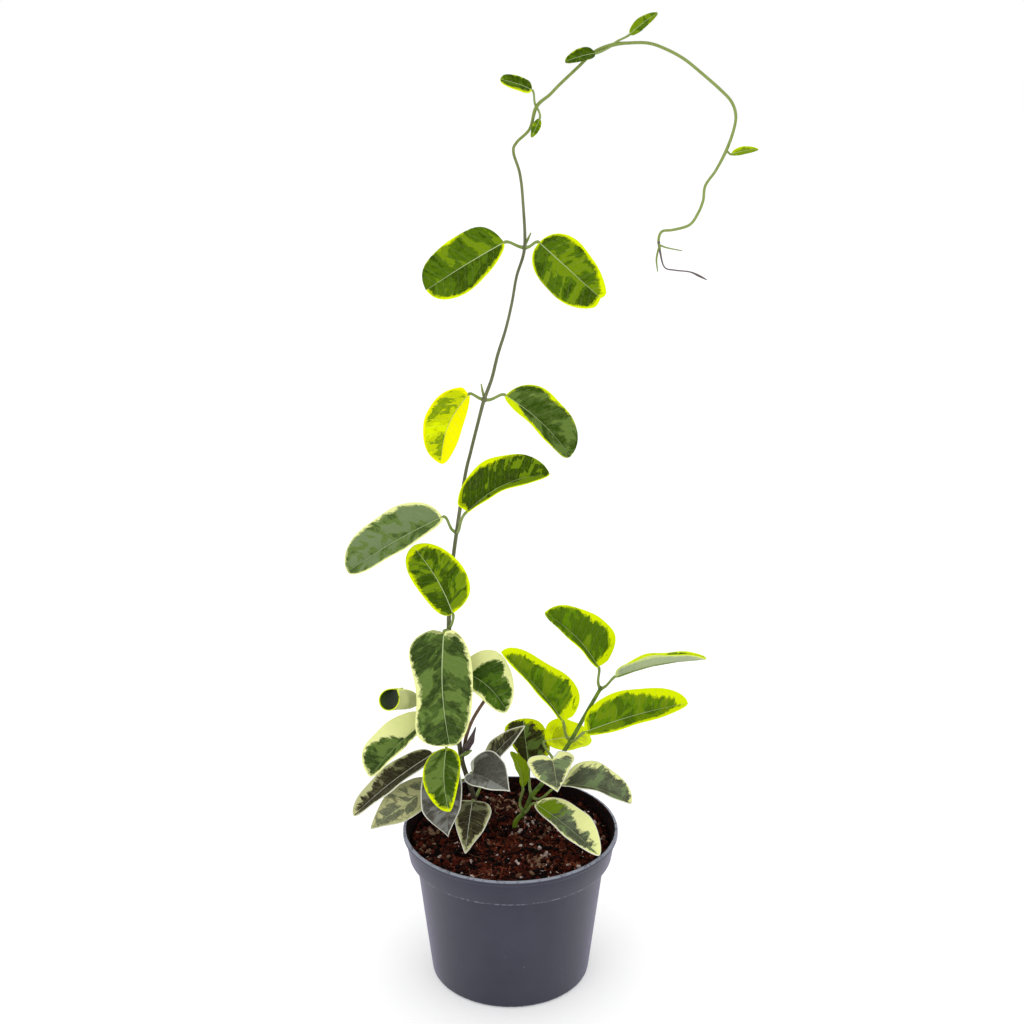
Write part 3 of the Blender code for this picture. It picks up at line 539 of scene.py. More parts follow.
def leaf_material(name):
    """A leaf's face: patches that follow the side veins, a ragged pale margin, a rim, a midrib and veins."""
    key, side = name.split(" ")
    look = LOOKS[key]
    board = Board(name)
    run, across, number = board.split(board.attribute("run"))
    inside, pale, shade = board.split(board.attribute("edge"))
    rib = board.attribute("rib", "Fac")
    number = number + across.math("SIGN", across) * 4.7

    def pattern(along, outward, offset, *grain):
        return board.noise(board.vector(run * along, across * outward, number + offset), 1, *grain)

    wide = 1 / look.size
    broad = pattern(0.08 * wide, 0.06 * wide, 0, 2, 0.5, 0.9)
    fine = pattern(0.32, 0.17, 3, 4, 0.65, 0.2)
    level = broad * 0.74 + fine * 0.26 + shade * 0.16
    dark_level = 0.44 + 0.1 * look.dark_share
    green = board.mix(level.above(dark_level, 0.006), palette(look.dark), palette(look.middle))
    green = board.mix(level.above(0.6 - 0.14 * look.light_share, 0.006), green, palette(look.light))
    cloud = pattern(0.5, 0.35, 8, 4, 0.66)
    green = board.mix((cloud - 0.42) * 0.8, green, palette(look.light))
    green = board.mix((0.5 - cloud) * 1.1, green, palette(look.dark))
    cells = board.vector(run * 0.52 + fine * 1.5, across * 0.34 + cloud * 1.5, number)
    net = board.node("ShaderNodeTexVoronoi", {"feature": "DISTANCE_TO_EDGE"}, {"Vector": cells, "Scale": 1})
    net = 1 - Field(board, net.outputs["Distance"]).above(0.035, 0.03)
    green = board.mix(net * 0.3, green, palette(look.light))
    if look.base:
        green = board.mix((17 - run + (fine - 0.5) * 44).above(0, 3), green, palette(look.base))

    slow = pattern(0.07, 0.02, 21, 1, 0.5)
    jag = pattern(0.27, 0.13, 15, 4, 0.68, 0.3) - 0.5
    reach = pale.math("MINIMUM", pale * 2.4 + 0.9, 9) * look.jagged
    border = pale * (slow * 3 - 0.5) - inside + jag * reach
    soft = board.mix(0.42, palette(look.middle), palette(look.margin))
    colour = board.mix((border + (fine - 0.5) * 5).above(-0.9, 0.1), green, soft)
    colour = board.mix(border.above(0, 0.1), colour, palette(look.margin))
    if look.rim:
        colour = board.mix((look.rim - inside).above(0, 0.06), colour, palette("ivory"))
    if look.spots:
        speck = board.noise(board.places(), 260, 2, 0.5).above(0.78 - 0.05 * look.spots, 0.02)
        colour = board.mix(speck * 0.7, colour, palette("brown_green"))

    veins = run / VEIN_SPACING + (fine - 0.5) * 0.6
    wave = veins.math("FRACT", veins)
    line = (0 - abs(wave - 0.5)).above(-0.035, 0.025)
    colour = board.mix(line * 0.09 * inside.above(2.2, 1.5), colour, palette(look.rib))
    rib_line = (rib - abs(across)).above(0, 0.07)
    colour = board.mix(rib_line * 0.85, colour, palette(look.rib))

    grain = board.noise(board.places(), 2600, 2, 0.6)
    if side == "under":
        colour = board.mix(0.6, colour, palette(look.under))
        height = rib_line * 0.9 + line * 0.25 + grain * 0.1
    else:
        height = line * -0.25 + grain * 0.1 + rib_line * 0.15
    normal = board.bump(height, 0.00035)
    if look.margin in ("lime", "bright_yellow"):
        board.uniform(specular_tint=(1, 1, 0.3, 1))
    return board.finish(colour, grain * 0.16 + 0.42, normal, 0.07)


def stalk_material(name):
    """Leaf stalks, buds and the young stem, which is the darker: green with a fine mottle."""
    dark, light = ("moss", "spring_green") if name == "young stem" else ("stem_green", "soft_green")
    board = Board(name)
    place = board.places()
    streak = board.noise(place, 900, 3, 0.6)
    patch = board.noise(place, 120, 2, 0.5)
    colour = board.mix(patch.above(0.5, 0.15), palette(dark), palette(light))
    colour = board.mix(streak * 0.5, colour, palette("grey_green"))
    return board.finish(colour, streak * 0.2 + 0.4, board.bump(streak, 0.0002), 0.2)


def vine_material(name):
    """The twining stem: brown at its foot, grey green in the middle and green on the arch."""
    board = Board(name)
    place = board.places()
    x, _, height = board.split(place)
    toward_arch = height + x.math("MAXIMUM", x, 0) * 1.2
    long = board.noise(board.stretch(place, (1, 1, 0.12)), 1500, 3, 0.6)
    patch = board.noise(place, 110, 3, 0.55)
    colour = board.mix((height + (patch - 0.5) * 0.08).above(0.17, 0.05), palette("stem_brown"),
                       palette("stem_grey"))
    colour = board.mix((toward_arch + (patch - 0.5) * 0.06).above(0.57, 0.03), colour, palette("stem_green"))
    colour = board.mix(x.above(0.085, 0.03) * 0.6, colour, palette("soft_green"))
    colour = board.mix(long.above(0.62, 0.08) * 0.3, colour, palette("pale_khaki"))
    colour = board.mix(long.above(0.38, 0.08) * -0.4 + 0.4, colour, palette("brown_green"))
    return board.finish(colour, long * 0.25 + 0.42, board.bump(long + patch, 0.0004), 0.25)


def woody_material(name):
    board = Board(name)
    place = board.places()
    long = board.noise(board.stretch(place, (1, 1, 0.2)), 1300, 4, 0.65)
    colour = board.mix(long, palette("stem_brown"), palette("bark_tan"))
    return board.finish(colour, 0.7, board.bump(long, 0.0004), 0.2)


def dry_material(name):
    board = Board(name)
    grain = board.noise(board.places(), 700, 4, 0.65)
    colour = board.mix(grain, palette("dry_purple"), palette("ash"))
    return board.finish(colour, 0.75, board.bump(grain, 0.0003), 0.2)


def pot_material(name):
    """Moulded plastic with a fine grain and a violet sheen, worn along its band, with painted highlights on
    its lip and band.
    """
    board = Board(name)
    place = board.places()
    height = board.split(place)[2]
    grain = board.noise(place, 1800, 3, 0.6)
    cloud = board.noise(place, 26, 4, 0.6)
    chips = board.noise(place, 330, 4, 0.7)
    scratch = board.noise(board.stretch(place, (1, 1, 0.3)), 210, 4, 0.7, 0.6)
    worn = scratch.above(0.7, 0.02) * cloud.above(0.52, 0.1) * 0.5
    # The lip line is a painted highlight broken up by chips. The band line is partly wear and partly painted
    # highlight.
    lip = height.above(0.1092, 0.0004) * chips.above(0.4, 0.1)
    band = (0.0007 - abs(height - 0.0904)).above(0, 0.0002) * chips.above(0.52, 0.06)
    foot = (0.0012 - height).above(0, 0.0003) * chips.above(0.5, 0.04)
    colour = board.mix(cloud * 0.12 + worn, palette("plastic"), palette("scuff_and_highlight"))
    # Here the scuff colour paints the lip's highlight and the band's line, which is partly wear and partly
    # painted highlight.
    colour = board.mix(lip * 0.9 + band * 0.45 + foot * 0.4, colour, palette("scuff_and_highlight"))
    board.uniform(specular_tint=(0.72, 0.68, 1, 1), sheen_weight=0.2, sheen_roughness=0.3,
                  sheen_tint=(0.5, 0.38, 0.95, 1))
    roughness = cloud * 0.2 + worn * 0.3 + grain * 0.08 + 0.27
    return board.finish(colour, roughness, board.bump(grain + scratch * 0.5, 0.0001), 0.55)


def inside_material(name):
    """The pot's inner wall, dull and stained by the soil."""
    board = Board(name)
    chips = board.noise(board.places(), 330, 4, 0.7)
    colour = board.mix(chips.above(0.6, 0.06) * 0.6, palette("pot_inside"), palette("soil_red"))
    return board.finish(colour, 0.85, board.bump(chips, 0.0003), 0.05)


def soil_material(name):
    """Dark red brown peat with paler flecks."""
    board = Board(name)
    place = board.places()
    lumps = board.noise(place, 130, 4, 0.7)
    flecks = board.noise(place, 900, 3, 0.6)
    colour = board.mix(lumps.above(0.53, 0.05), palette("soil_dark"), palette("soil_red"))
    colour = board.mix(flecks.above(0.6, 0.03) * 0.7, colour, palette("soil_dark"))
    colour = board.mix(flecks.above(0.7, 0.02), colour, palette("bark_tan"))
    return board.finish(colour, 0.95, board.bump(lumps + flecks * 0.6, 0.0016), 0.08)


def crumb_material(name):
    """Bark crumbs: each has its own shade between dark peat and tan bark."""
    board = Board(name)
    own = board.attribute("shade", "Fac")
    grain = board.noise(board.places(), 1100, 4, 0.65)
    colour = board.mix(own.above(0.5, 0.3), palette("soil_dark"), palette("soil_red"))
    colour = board.mix(own.above(0.91, 0.05), colour, palette("bark_tan"))
    colour = board.mix(grain.above(0.5, 0.1) * 0.6, colour, palette("soil_dark"))
    return board.finish(colour, 0.9, board.bump(grain, 0.0008), 0.08)


def granule_material(name):
    board = Board(name)
    own = board.attribute("shade", "Fac")
    grain = board.noise(board.places(), 1500, 3, 0.6)
    colour = board.mix(own * 0.6, palette("perlite"), palette("bark_tan"))
    colour = board.mix(grain.above(0.56, 0.06) * 0.7, colour, palette("soil_red"))
    return board.finish(colour, 0.85, board.bump(grain, 0.0006), 0.15)


def fibre_material(name):
    board = Board(name)
    own = board.attribute("shade", "Fac")
    colour = board.mix(own.above(0.4, 0.4), palette("soil_red"), palette("coir"))
    colour = board.mix(own.above(0.93, 0.05) * 0.6, colour, palette("bark_tan"))
    return board.finish(colour, 0.8, None, 0.1)


def stage_material(name):
    board = Board(name)
    paper = board.noise(board.places(), 400, 2, 0.5)
    colour = board.mix(paper * 0.03, (0.9, 0.9, 0.9, 1), (0.86, 0.86, 0.86, 1))
    board.uniform(emission_color=(1, 1, 1, 1), emission_strength=0.2)
    return board.finish(colour, 0.9, None, 0.1)


def deselect():
    if bpy.context.object and bpy.context.object.mode != "OBJECT":
        bpy.ops.object.mode_set(mode="OBJECT")
    bpy.ops.object.select_all(action="DESELECT")


def choose(piece):
    deselect()
    piece.select_set(True)
    bpy.context.view_layer.objects.active = piece


def added(operator, location=(0, 0, 0), **settings):
    """The object that one of Blender's add operators makes."""
    deselect()
    operator(location=location, **settings)
    return bpy.context.object


def edit_all(piece, operator, **settings):
    """Runs one of Blender's mesh operators on the whole of a piece."""
    choose(piece)
    bpy.ops.object.mode_set(mode="EDIT")
    bpy.ops.mesh.select_all(action="SELECT")
    operator(**settings)
    bpy.ops.object.mode_set(mode="OBJECT")


def modify(piece, kind, **settings):
    """Puts a modifier on a piece and applies it."""
    choose(piece)
    made = piece.modifiers.new(kind, kind)
    for key, value in settings.items():
        setattr(made, key, value)
    bpy.ops.object.modifier_apply(modifier=kind)


def weld(piece):
    """Merges points that lie closer together than WELD_DISTANCE."""
    edit_all(piece, bpy.ops.mesh.remove_doubles, threshold=WELD_DISTANCE * MM)


def join(pieces, name):
    """Makes several pieces one, under the name given."""
    deselect()
    for piece in pieces:
        piece.select_set(True)
    bpy.context.view_layer.objects.active = pieces[0]
    bpy.ops.object.join()
    pieces[0].name = name
    return pieces[0]


def place(piece, node):
    """Puts a finished piece on the model in place of the CAD node."""
    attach(piece, BODY)
    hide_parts(node)


def curve_through(route, steps):
    """Points and radii on a smooth curve through a route's own points."""
    rows = [Vector(row) for row in route]
    path = []
    for i in range(len(rows) - 1):
        before = rows[max(i - 1, 0)]
        start = rows[i]
        end = rows[i + 1]
        after = rows[min(i + 2, len(rows) - 1)]
        for k in range(steps):
            t = k / steps
            lift = (start * 2 + (end - before) * t + (before * 2 - start * 5 + end * 4 - after) * t * t
                    + (start * 3 - before - end * 3 + after) * t * t * t)
            path.append(lift / 2)
    path.append(rows[-1])
    return path


def drawn_line(points):
    """A curve straight from point to point. Each has x, y, z and a radius."""
    line = added(bpy.ops.curve.primitive_nurbs_path_add)
    line.data.splines.clear()
    spline = line.data.splines.new("POLY")
    spline.points.add(len(points) - 1)
    for point, (x, y, z, radius) in zip(spline.points, points):
        point.co = (x * MM, y * MM, z * MM, 1)
        point.radius = radius
    return line


def as_mesh(name):
    """Makes the active curve a mesh of that name."""
    bpy.ops.object.convert(target="MESH")
    piece = bpy.context.object
    piece.name = name
    return piece


def paint(piece, *materials):
    piece.data.materials.clear()
    for material in materials:
        piece.data.materials.append(material)


def tube(name, path, sides, material):
    """A closed round tube along points that carry their radius."""
    line = drawn_line(path)
    line.data.bevel_depth = MM
    line.data.bevel_resolution = sides
    line.data.use_fill_caps = True
    piece = as_mesh(name)
    weld(piece)
    bpy.ops.object.shade_smooth_by_angle(angle=math.radians(50))
    paint(piece, material)
    return piece


def turned(name, section, steps, material):
    """A body of revolution about Z from half of its section, which begins and ends on the axis."""
    drawn_line([(radius, 0, height, 1) for radius, height in section])
    piece = as_mesh(name)
    modify(piece, "SCREW", steps=steps, render_steps=steps, use_merge_vertices=True)
    weld(piece)
    edit_all(piece, bpy.ops.mesh.normals_make_consistent, inside=False)
    paint(piece, material)
    return piece


def half_width(widths, u, tail):
    """A smooth margin through half widths at 15, 50 and 85 % of the length, closed at both ends.

    A tail of 1 draws the round tip out into a slightly hollow point.
    """
    low, middle, high = widths
    turn = math.acos(1 - 2 * u)
    first = ((low + high) / math.sqrt(2) + middle) / 2
    second = (low - high) / 2
    third = first - middle
    width = first * math.sin(turn) + second * math.sin(2 * turn) + third * math.sin(3 * turn)
    return max(0.0, width * (1 - tail * max(0, 1 - (1 - u) / 0.4) ** 1.6))


def between(values, u):
    """A value between those given for 15, 50 and 85 % of the length."""
    low, middle, high = values
    if u < 0.5:
        share = max(0.0, (u - 0.15) / 0.35)
        return low + (middle - low) * share
    share = min(1.0, (u - 0.5) / 0.35)
    return middle + (high - middle) * share


def leaf_axes(leaf):
    base = Vector(leaf.base)
    along = Vector(leaf.tip) - base
    length = along.length
    along.normalize()
    face = Vector(leaf.face)
    face = (face - along * face.dot(along)).normalized()
    return base, length, along, face.cross(along), face


def leaf_point(leaf, axes, u, v, groove):
    """A point of the leaf's sheet: u runs from stalk to tip, v from the right margin (-1) to the left (1)."""
    base, length, along, side, face = axes
    left = v > 0
    widths = leaf.left if left else leaf.right
    half = half_width(widths, u, leaf.tail)
    share = half / max(widths)
    reach = abs(v) * half
    start = math.radians(leaf.fold)
    curl = math.radians(leaf.cup) / max(widths)
    across = (math.sin(start + curl * reach) - math.sin(start)) / curl
    rise = (math.cos(start) - math.cos(start + curl * reach)) / curl
    rise += leaf.wave * v * v * share * math.sin(MARGIN_WAVES * u + leaf.phase + (WAVES_APART if left else 0))
    ends = v * v * min(1, 3 * share)
    run = length * u
    run -= (leaf.lobe[0] if left else leaf.lobe[1]) * ends * math.exp(-u / LOBE_REACH)
    run += leaf.notch * ends * math.exp((u - 1) / NOTCH_REACH)
    middle = math.sin(math.pi * u)
    vein = run - VEIN_SLANT * reach
    body = min(1.0, reach / 2) * min(1.0, (half - reach) / 2) * share
    rise += PUCKER * body * math.sin(2 * math.pi * vein / VEIN_SPACING)
    rise -= groove * math.exp(-((reach / GROOVE_REACH) ** 2)) * min(1, 6 * (1 - u))
    across = (across if left else -across) + leaf.bend * middle
    spot = base + along * run + side * across + face * (rise + leaf.arch * middle)
    return spot, vein, reach, half


def stem_direction(route, node):
    """The way a stem runs at one of its nodes."""
    spots = [Vector(row[:3]) for row in route]
    nearest = min(range(len(spots)), key=lambda i: (spots[i] - Vector(node)).length)
    before = spots[max(nearest - 1, 0)]
    after = spots[min(nearest + 1, len(spots) - 1)]
    return (after - before).normalized()


def stem_radius(route, node):
    nearest = min(route, key=lambda row: (Vector(row[:3]) - Vector(node)).length)
    return nearest[3]


def stalk_start(leaf, route):
    """Direction in which the leaf's stalk leaves the stem: towards the leaf, mostly sideways."""
    stem = stem_direction(route, leaf.node)
    toward = (Vector(leaf.base) - Vector(leaf.node)).normalized()
    return (toward - stem * toward.dot(stem) * leaf.square).normalized()


def stalk_path(leaf, start, way, radius):
    """The stalk from the stem to the blade, then thinning out under the midrib."""
    axes = leaf_axes(leaf)
    base, _, along, _, face = axes
    span = (base - start).length
    leave = way * span * 1.1
    arrive = (along + face * 0.3).normalized() * span * 0.9
    path = []
    for k in range(STALK_STEPS):
        t = k / STALK_STEPS
        spot = (start * (2 * t**3 - 3 * t**2 + 1) + leave * (t**3 - 2 * t**2 + t)
                + base * (3 * t**2 - 2 * t**3) + arrive * (t**3 - t**2))
        path.append((*spot, radius * (1.12 - 0.2 * math.sin(math.pi * t))))
    for u, drop, size in STALK_END:
        spot = leaf_point(leaf, axes, u, 0, 0)[0] - face * drop
        path.append((*spot, radius * size))
    return path


def blade(leaf, number, rows, columns):
    """A leaf's sheet from a grid, with its thickness, and the pattern's places kept as attributes."""
    sizes = bpy.context.scene.jasmine_sizes
    sheet = added(bpy.ops.mesh.primitive_grid_add, x_subdivisions=rows, y_subdivisions=columns, size=1)
    sheet.name = leaf.name
    mesh = sheet.data
    for name, kind in (("run", "FLOAT_VECTOR"), ("edge", "FLOAT_VECTOR"), ("rib", "FLOAT")):
        mesh.attributes.new(name, kind, "POINT")
    run, edge, rib = (mesh.attributes[name] for name in ("run", "edge", "rib"))
    axes = leaf_axes(leaf)
    length = axes[1]
    groove = sizes.groove_depth / MM if rows == LEAF_ROWS else YOUNG_GROOVE
    for vert in mesh.vertices:
        u = (1 - math.cos(math.pi * (vert.co.x + 0.5))) / 2
        u = min(max(u, 0), 1)
        v = math.copysign(abs(2 * vert.co.y) ** 1.3, vert.co.y)
        spot, vein, reach, half = leaf_point(leaf, axes, u, v, groove)
        vert.co = spot * MM
        away = max(half - reach, 0.001)
        ahead = length * (1 - u) + 0.05
        behind = length * u + 0.05
        inside = (away**-2 + ahead**-2 + behind**-2) ** -0.5
        half_index = 0 if v > 0 else 1
        pale = between(leaf.pale[half_index], u)
        run.data[vert.index].vector = (vein, math.copysign(reach, v), number * 7.3)
        edge.data[vert.index].vector = (inside, pale, leaf.shade[half_index])
        rib.data[vert.index].value = 0.1 + length * 0.0055 * (1 - u)
    weld(sheet)
    paint(sheet, once(leaf.look + " upper", leaf_material), once(leaf.look + " under", leaf_material))
    modify(sheet, "SOLIDIFY", thickness=sizes.leaf_thickness, offset=0, material_offset=1)
    bpy.ops.object.shade_smooth_by_angle(angle=math.radians(60))
    return sheet


def make_leaf(leaf, number, route):
    """A large leaf with its stalk, in place of its CAD node."""
    radius = bpy.context.scene.jasmine_sizes.stalk_radius / MM
    way = stalk_start(leaf, route)
    start = Vector(leaf.node) + way * (stem_radius(route, leaf.node) + CUSHION_LENGTH - STALK_OVERLAP)
    sheet = blade(leaf, number, LEAF_ROWS, LEAF_COLUMNS)
    path = stalk_path(leaf, start, way, radius)
    stalk = tube(leaf.name + "_stalk", path, 4, once("stalk green", stalk_material))
    piece = join([sheet, stalk], leaf.name + "_look")
    place(piece, leaf.name)


def cushion(leaf, route, material):
    """The swollen stub on the stem that a leaf's stalk stands on."""
    way = stalk_start(leaf, route)
    node = Vector(leaf.node)
    end = node + way * (stem_radius(route, leaf.node) + CUSHION_LENGTH)
    path = [(*node.lerp(end, t), radius) for t, radius in CUSHION_SHAPE]
    return tube(leaf.name + "_cushion", path, 4, material)


def make_stem(node, route, leaves, material):
    """A stem with the cushions of its leaves, in place of its CAD node."""
    stem = tube(node, curve_through(route, 6), 5, material)
    parts = [cushion(leaf, route, material) for leaf in leaves]
    place(join([stem] + parts, node + "_look"), node)


def make_young_leaf(leaf, number, route):
    """A small leaf of the arch, or the bract, as a part of the twining stem."""
    way = stalk_start(leaf, route)
    start = Vector(leaf.node) + way * YOUNG_STALK_START
    finish = once("dry", dry_material) if leaf.look == "dry" else once("stalk green", stalk_material)
    sheet = blade(leaf, number, YOUNG_ROWS, YOUNG_COLUMNS)
    stalk = tube(leaf.name + "_stalk", stalk_path(leaf, start, way, YOUNG_STALK_RADIUS), 3, finish)
    place(join([sheet, stalk], leaf.name + "_look"), "vine_stem")


def soil_height(x, y):
    """The loose top of the potting mix, in millimetres."""
    level = SOIL_BUMP * (0.5 * math.sin(0.21 * x + 1) * math.cos(0.19 * y)
                         + 0.3 * math.sin(0.43 * y + 0.31 * x) + 0.2 * math.cos(0.55 * x - 0.4 * y))
    spot = Vector((x, y, 3))
    height = SOIL_TOP + level
    for lump, closeness in SOIL_LUMPS:
        height += lump * noise.noise(spot * closeness)
    return height


def scattered(name, shape, spots, node, material):
    """Many copies of one small shape as a single piece. A spot is a matrix and a shade."""
    points = [vert.co.copy() for vert in shape.data.vertices]
    faces = [tuple(face.vertices) for face in shape.data.polygons]
    all_points = []
    all_faces = []
    shades = []
    for matrix, own in spots:
        first = len(all_points)
        all_points += [matrix @ point for point in points]
        all_faces += [tuple(first + i for i in face) for face in faces]
        shades += [own] * len(points)
    choose(shape)
    shape.data.clear_geometry()
    shape.data.from_pydata(all_points, [], all_faces)
    kept = shape.data.attributes.new("shade", "FLOAT", "POINT")
    kept.data.foreach_set("value", shades)
    shape.name = name
    paint(shape, material)
    place(shape, node)


def soil_spot(dice, reach, patches, share, spread):
    """A place on the soil, clear of the pot's wall: near a patch by the share given, else anywhere."""
    if dice.random() < share:
        middle = dice.choice(patches)
        x, y = dice.gauss(middle[0], spread), dice.gauss(middle[1], spread)
        far = math.hypot(x, y)
        return (x, y) if far < reach else (x * reach / far, y * reach / far)
    r = reach * math.sqrt(dice.random())
    turn = dice.uniform(0, 2 * math.pi)
    return r * math.cos(turn), r * math.sin(turn)


def jitter(shape, dice, share):
    for vert in shape.data.vertices:
        vert.co *= 1 + dice.uniform(-share, share)


class JASMINE_OT_pot(bpy.types.Operator):
    """Turns the nursery pot and opens its drain holes"""

    bl_idname = "jasmine.pot"
    bl_label = "Pot"

    def execute(self, context):
        pot = turned("pot_look", POT_SECTION, POT_STEPS, once("pot plastic", pot_material))
        for k in range(DRAIN_HOLES):
            turn = 2 * math.pi * (k + 0.5) / DRAIN_HOLES
            spot = Vector((math.cos(turn), math.sin(turn), 0)) * DRAIN_CIRCLE * MM
            drill = added(bpy.ops.mesh.primitive_cylinder_add, spot, vertices=32, radius=DRAIN_RADIUS * MM,
                          depth=8 * MM)
            modify(pot, "BOOLEAN", operation="DIFFERENCE", object=drill)
            bpy.data.objects.remove(drill)
        bpy.ops.object.shade_smooth_by_angle(angle=math.radians(40))
        pot.data.materials.append(once("pot inside", inside_material))
        for face in pot.data.polygons:
            inward = face.normal.x * face.center.x + face.normal.y * face.center.y < 0
            if inward and face.center.z > 0.02:
                face.material_index = 1
        place(pot, "pot")
        return {"FINISHED"}


class JASMINE_OT_soil(bpy.types.Operator):
    """Fills the pot with a loose potting mix"""

    bl_idname = "jasmine.soil"
    bl_label = "Soil"

    def execute(self, context):
        soil = added(bpy.ops.mesh.primitive_grid_add, x_subdivisions=SOIL_CELLS, y_subdivisions=SOIL_CELLS,
                     size=2)
        soil.name = "soil_look"
        for vert in soil.data.vertices:
            a, b = vert.co.x, vert.co.y
            x = SOIL_EDGE * a * math.sqrt(1 - b * b / 2)
            y = SOIL_EDGE * b * math.sqrt(1 - a * a / 2)
            vert.co = Vector((x, y, soil_height(x, y))) * MM
        bpy.ops.object.mode_set(mode="EDIT")
        bpy.ops.mesh.select_mode(type="EDGE")
        bpy.ops.mesh.select_all(action="DESELECT")
        bpy.ops.mesh.select_non_manifold()
        for level, radius in SOIL_SIDE:
            bpy.ops.mesh.extrude_region_move()
            bpy.ops.object.mode_set(mode="OBJECT")
            for vert in soil.data.vertices:
                if vert.select:
                    flat = Vector((vert.co.x, vert.co.y, 0)).normalized() * radius
                    vert.co = (flat + Vector((0, 0, level))) * MM
            bpy.ops.object.mode_set(mode="EDIT")
        bpy.ops.mesh.edge_face_add()
        bpy.ops.object.mode_set(mode="OBJECT")
        bpy.ops.object.shade_smooth_by_angle(angle=math.radians(50))
        soil.data.materials.append(once("potting mix", soil_material))
        place(soil, "soil")
        return {"FINISHED"}


class JASMINE_OT_crumbs(bpy.types.Operator):
    """Scatters bark crumbs, pale granules and fibres on the soil"""

    bl_idname = "jasmine.crumbs"
    bl_label = "Crumbs"

    def execute(self, context):
        sizes = context.scene.jasmine_sizes
        dice = random.Random(SEED)
        self.lay_crumbs("bark_crumbs", sizes.crumbs, CRUMB_RADII, TAN_SPOTS, 0.25, crumb_material, dice)
        self.lay_crumbs("pale_granules", sizes.granules, GRANULE_RADII, WHITE_SPOTS, 0.3, granule_material,
                        dice)
        self.lay_fibres(sizes.fibres, dice)
        return {"FINISHED"}

    def lay_crumbs(self, name, count, radii, patches, share, maker, dice):
        """Small stones, the larger ones rarer; those of bark are paler in their patches."""
        bark = name == "bark_crumbs"
        shape = added(bpy.ops.mesh.primitive_ico_sphere_add, subdivisions=1 if bark else 2, radius=1)
        jitter(shape, dice, 0.38)
        spots = []
        for k in range(count):
            x, y = soil_spot(dice, SOIL_EDGE - 1.5, patches, share, 7)
            size = radii[0] + (radii[1] - radii[0]) * dice.random() ** 2.6
            near = min(math.hypot(x - a, y - b) for a, b in patches)
            own = dice.random()
            if bark:
                own = min(1, own * 0.96 + (0.3 if near < TAN_REACH else 0))
            shift = Matrix.Translation(Vector((x, y, soil_height(x, y) + size * 0.3)) * MM)
            turn = Matrix.Rotation(dice.uniform(0, 6.3), 4, Vector((dice.gauss(0, 1), dice.gauss(0, 1), 1)))
            flat = Matrix.Diagonal((size * MM, size * dice.uniform(0.5, 1) * MM, size * 0.6 * MM, 1))
            spots.append((shift @ turn @ flat, own))
        scattered(name, shape, spots, "soil", once(name.replace("_", " "), maker))

    def lay_fibres(self, count, dice):
        """Loose coir fibres, most of them in clumps round the coir patches; the thicker ones are the longer.
        """
        shape = added(bpy.ops.mesh.primitive_cylinder_add, vertices=5, radius=1, depth=1)
        edit_all(shape, bpy.ops.mesh.subdivide, number_cuts=3)
        for vert in shape.data.vertices:
            bow = math.sin(math.pi * (vert.co.z + 0.5))
            vert.co.x += bow * 6
        spots = []
        for k in range(count):
            x, y = soil_spot(dice, SOIL_EDGE - 7, COIR_SPOTS, 0.6, 8)
            thick = 0.1 + 0.32 * dice.random() ** 3
            length = dice.uniform(3, 9) + thick * 12
            shift = Matrix.Translation(Vector((x, y, soil_height(x, y) + 0.9)) * MM)
            flat = Matrix.Rotation(math.radians(90 + dice.uniform(-14, 14)), 4, "Y")
            twist = Matrix.Rotation(dice.uniform(-0.5, 0.5), 4, "Z")
            turn = Matrix.Rotation(dice.uniform(0, 6.3), 4, "Z") @ flat @ twist
            size = Matrix.Diagonal((thick * MM, thick * MM, length * MM, 1))
            spots.append((shift @ turn @ size, dice.random()))
        scattered("coir_fibres", shape, spots, "soil", once("coir fibres", fibre_material))


class JASMINE_OT_stems(bpy.types.Operator):
    """Draws the twining stem and the young stem"""

    bl_idname = "jasmine.stems"
    bl_label = "Stems"

    def execute(self, context):
        make_stem("vine_stem", VINE, VINE_LEAVES, once("vine stem", vine_material))
        make_stem("bush_stem", BUSH, BUSH_LEAVES, once("young stem", stalk_material))
        return {"FINISHED"}


class JASMINE_OT_shoots(bpy.types.Operator):
    """Adds buds, dried ends, the cut shoot, the bract and the young leaves of the arch"""

    bl_idname = "jasmine.shoots"
    bl_label = "Shoots"

    def execute(self, context):
        makers = {"dry": ("dry", dry_material), "green": ("stalk green", stalk_material),
                  "woody": ("woody", woody_material)}
        for name, kind, route in TWIGS:
            finish = once(*makers[kind])
            place(tube(name, curve_through(route, 5), 4, finish), "vine_stem")
        for number, leaf in enumerate(YOUNG_LEAVES + [BRACT]):
            make_young_leaf(leaf, number + 50, VINE)
        return {"FINISHED"}


class JASMINE_OT_vine_leaves(bpy.types.Operator):
    """Hangs the large leaves of the twining stem"""

    bl_idname = "jasmine.vine_leaves"
    bl_label = "Vine leaves"

    def execute(self, context):
        for number, leaf in enumerate(VINE_LEAVES):
            make_leaf(leaf, number, VINE)
        return {"FINISHED"}


class JASMINE_OT_bush_leaves(bpy.types.Operator):
    """Hangs the leaves of the young stem"""

    bl_idname = "jasmine.bush_leaves"
    bl_label = "Young stem's leaves"

    def execute(self, context):
        for number, leaf in enumerate(BUSH_LEAVES):
            make_leaf(leaf, number + 30, BUSH)
        return {"FINISHED"}


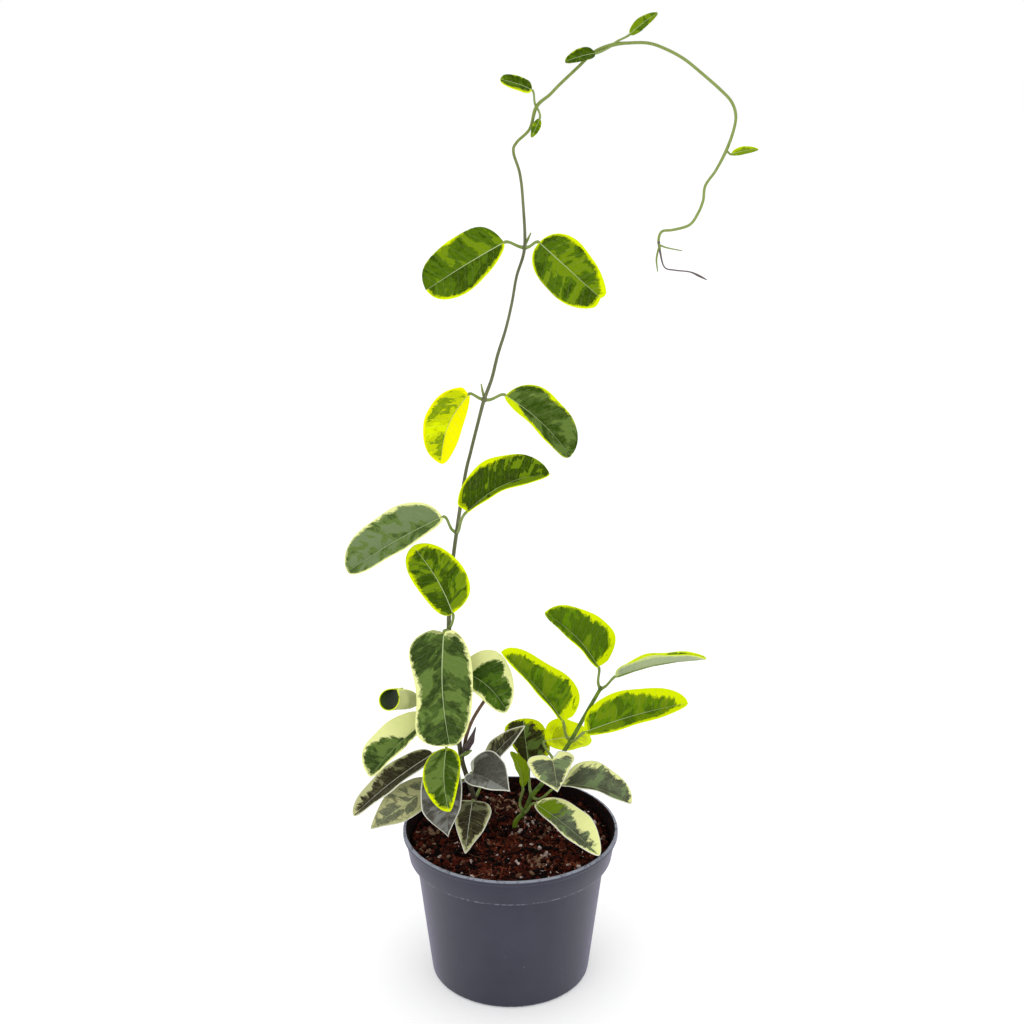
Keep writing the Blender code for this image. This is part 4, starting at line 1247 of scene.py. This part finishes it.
class JASMINE_OT_stage(bpy.types.Operator):
    """Sets the floor, the lights and the camera"""

    bl_idname = "jasmine.stage"
    bl_label = "Stage"

    def execute(self, context):
        floor = added(bpy.ops.mesh.primitive_plane_add, (0, 0, FLOOR_LEVEL), size=FLOOR_SIZE)
        floor.name = "floor"
        floor.data.materials.append(once("paper white", stage_material))
        for name, spot, size, power in LIGHTS:
            light = added(bpy.ops.object.light_add, spot, type="AREA")
            light.name = name
            light.data.size = size
            light.data.energy = power
            light.rotation_euler = (Vector(LIGHTS_AIM) - Vector(spot)).to_track_quat("-Z", "Y").to_euler()
        world = bpy.data.worlds.new("studio")
        world.use_nodes = True
        sky = world.node_tree.nodes["Background"]
        sky.inputs["Color"].default_value = (1, 1, 1, 1)
        sky.inputs["Strength"].default_value = 1.0
        context.scene.world = world
        context.scene.view_settings.view_transform = "Standard"
        camera = added(bpy.ops.object.camera_add, CAMERA_PLACE, rotation=(CAMERA_TILT, 0, 0))
        camera.name = "camera"
        camera.data.lens = LENS
        camera.data.sensor_width = SENSOR_WIDTH
        camera.data.clip_start = 0.01
        context.scene.camera = camera
        return {"FINISHED"}


STEPS = ("stage", "pot", "soil", "crumbs", "stems", "shoots", "vine_leaves", "bush_leaves")


class JASMINE_PT_panel(bpy.types.Panel):
    bl_idname = "JASMINE_PT_panel"
    bl_label = "Potted jasmine"
    bl_space_type = "VIEW_3D"
    bl_region_type = "UI"
    bl_category = "Jasmine"

    def draw(self, context):
        layout = self.layout
        for step in STEPS:
            layout.operator("jasmine." + step)
        for group in (context.scene.jasmine_sizes, context.scene.jasmine_colours):
            for key in group.__annotations__:
                layout.prop(group, key)


CLASSES = (JasmineSizes, JasmineColours, JASMINE_OT_stage, JASMINE_OT_pot, JASMINE_OT_soil,
           JASMINE_OT_crumbs, JASMINE_OT_stems, JASMINE_OT_shoots, JASMINE_OT_vine_leaves,
           JASMINE_OT_bush_leaves, JASMINE_PT_panel)


def register():
    for kind in CLASSES:
        bpy.utils.register_class(kind)
    bpy.types.Scene.jasmine_sizes = bpy.props.PointerProperty(type=JasmineSizes)
    bpy.types.Scene.jasmine_colours = bpy.props.PointerProperty(type=JasmineColours)


def unregister():
    del bpy.types.Scene.jasmine_colours
    del bpy.types.Scene.jasmine_sizes
    for kind in reversed(CLASSES):
        bpy.utils.unregister_class(kind)


def main():
    register()
    for step in STEPS:
        getattr(bpy.ops.jasmine, step)()


if __name__ == "__main__":
    main()
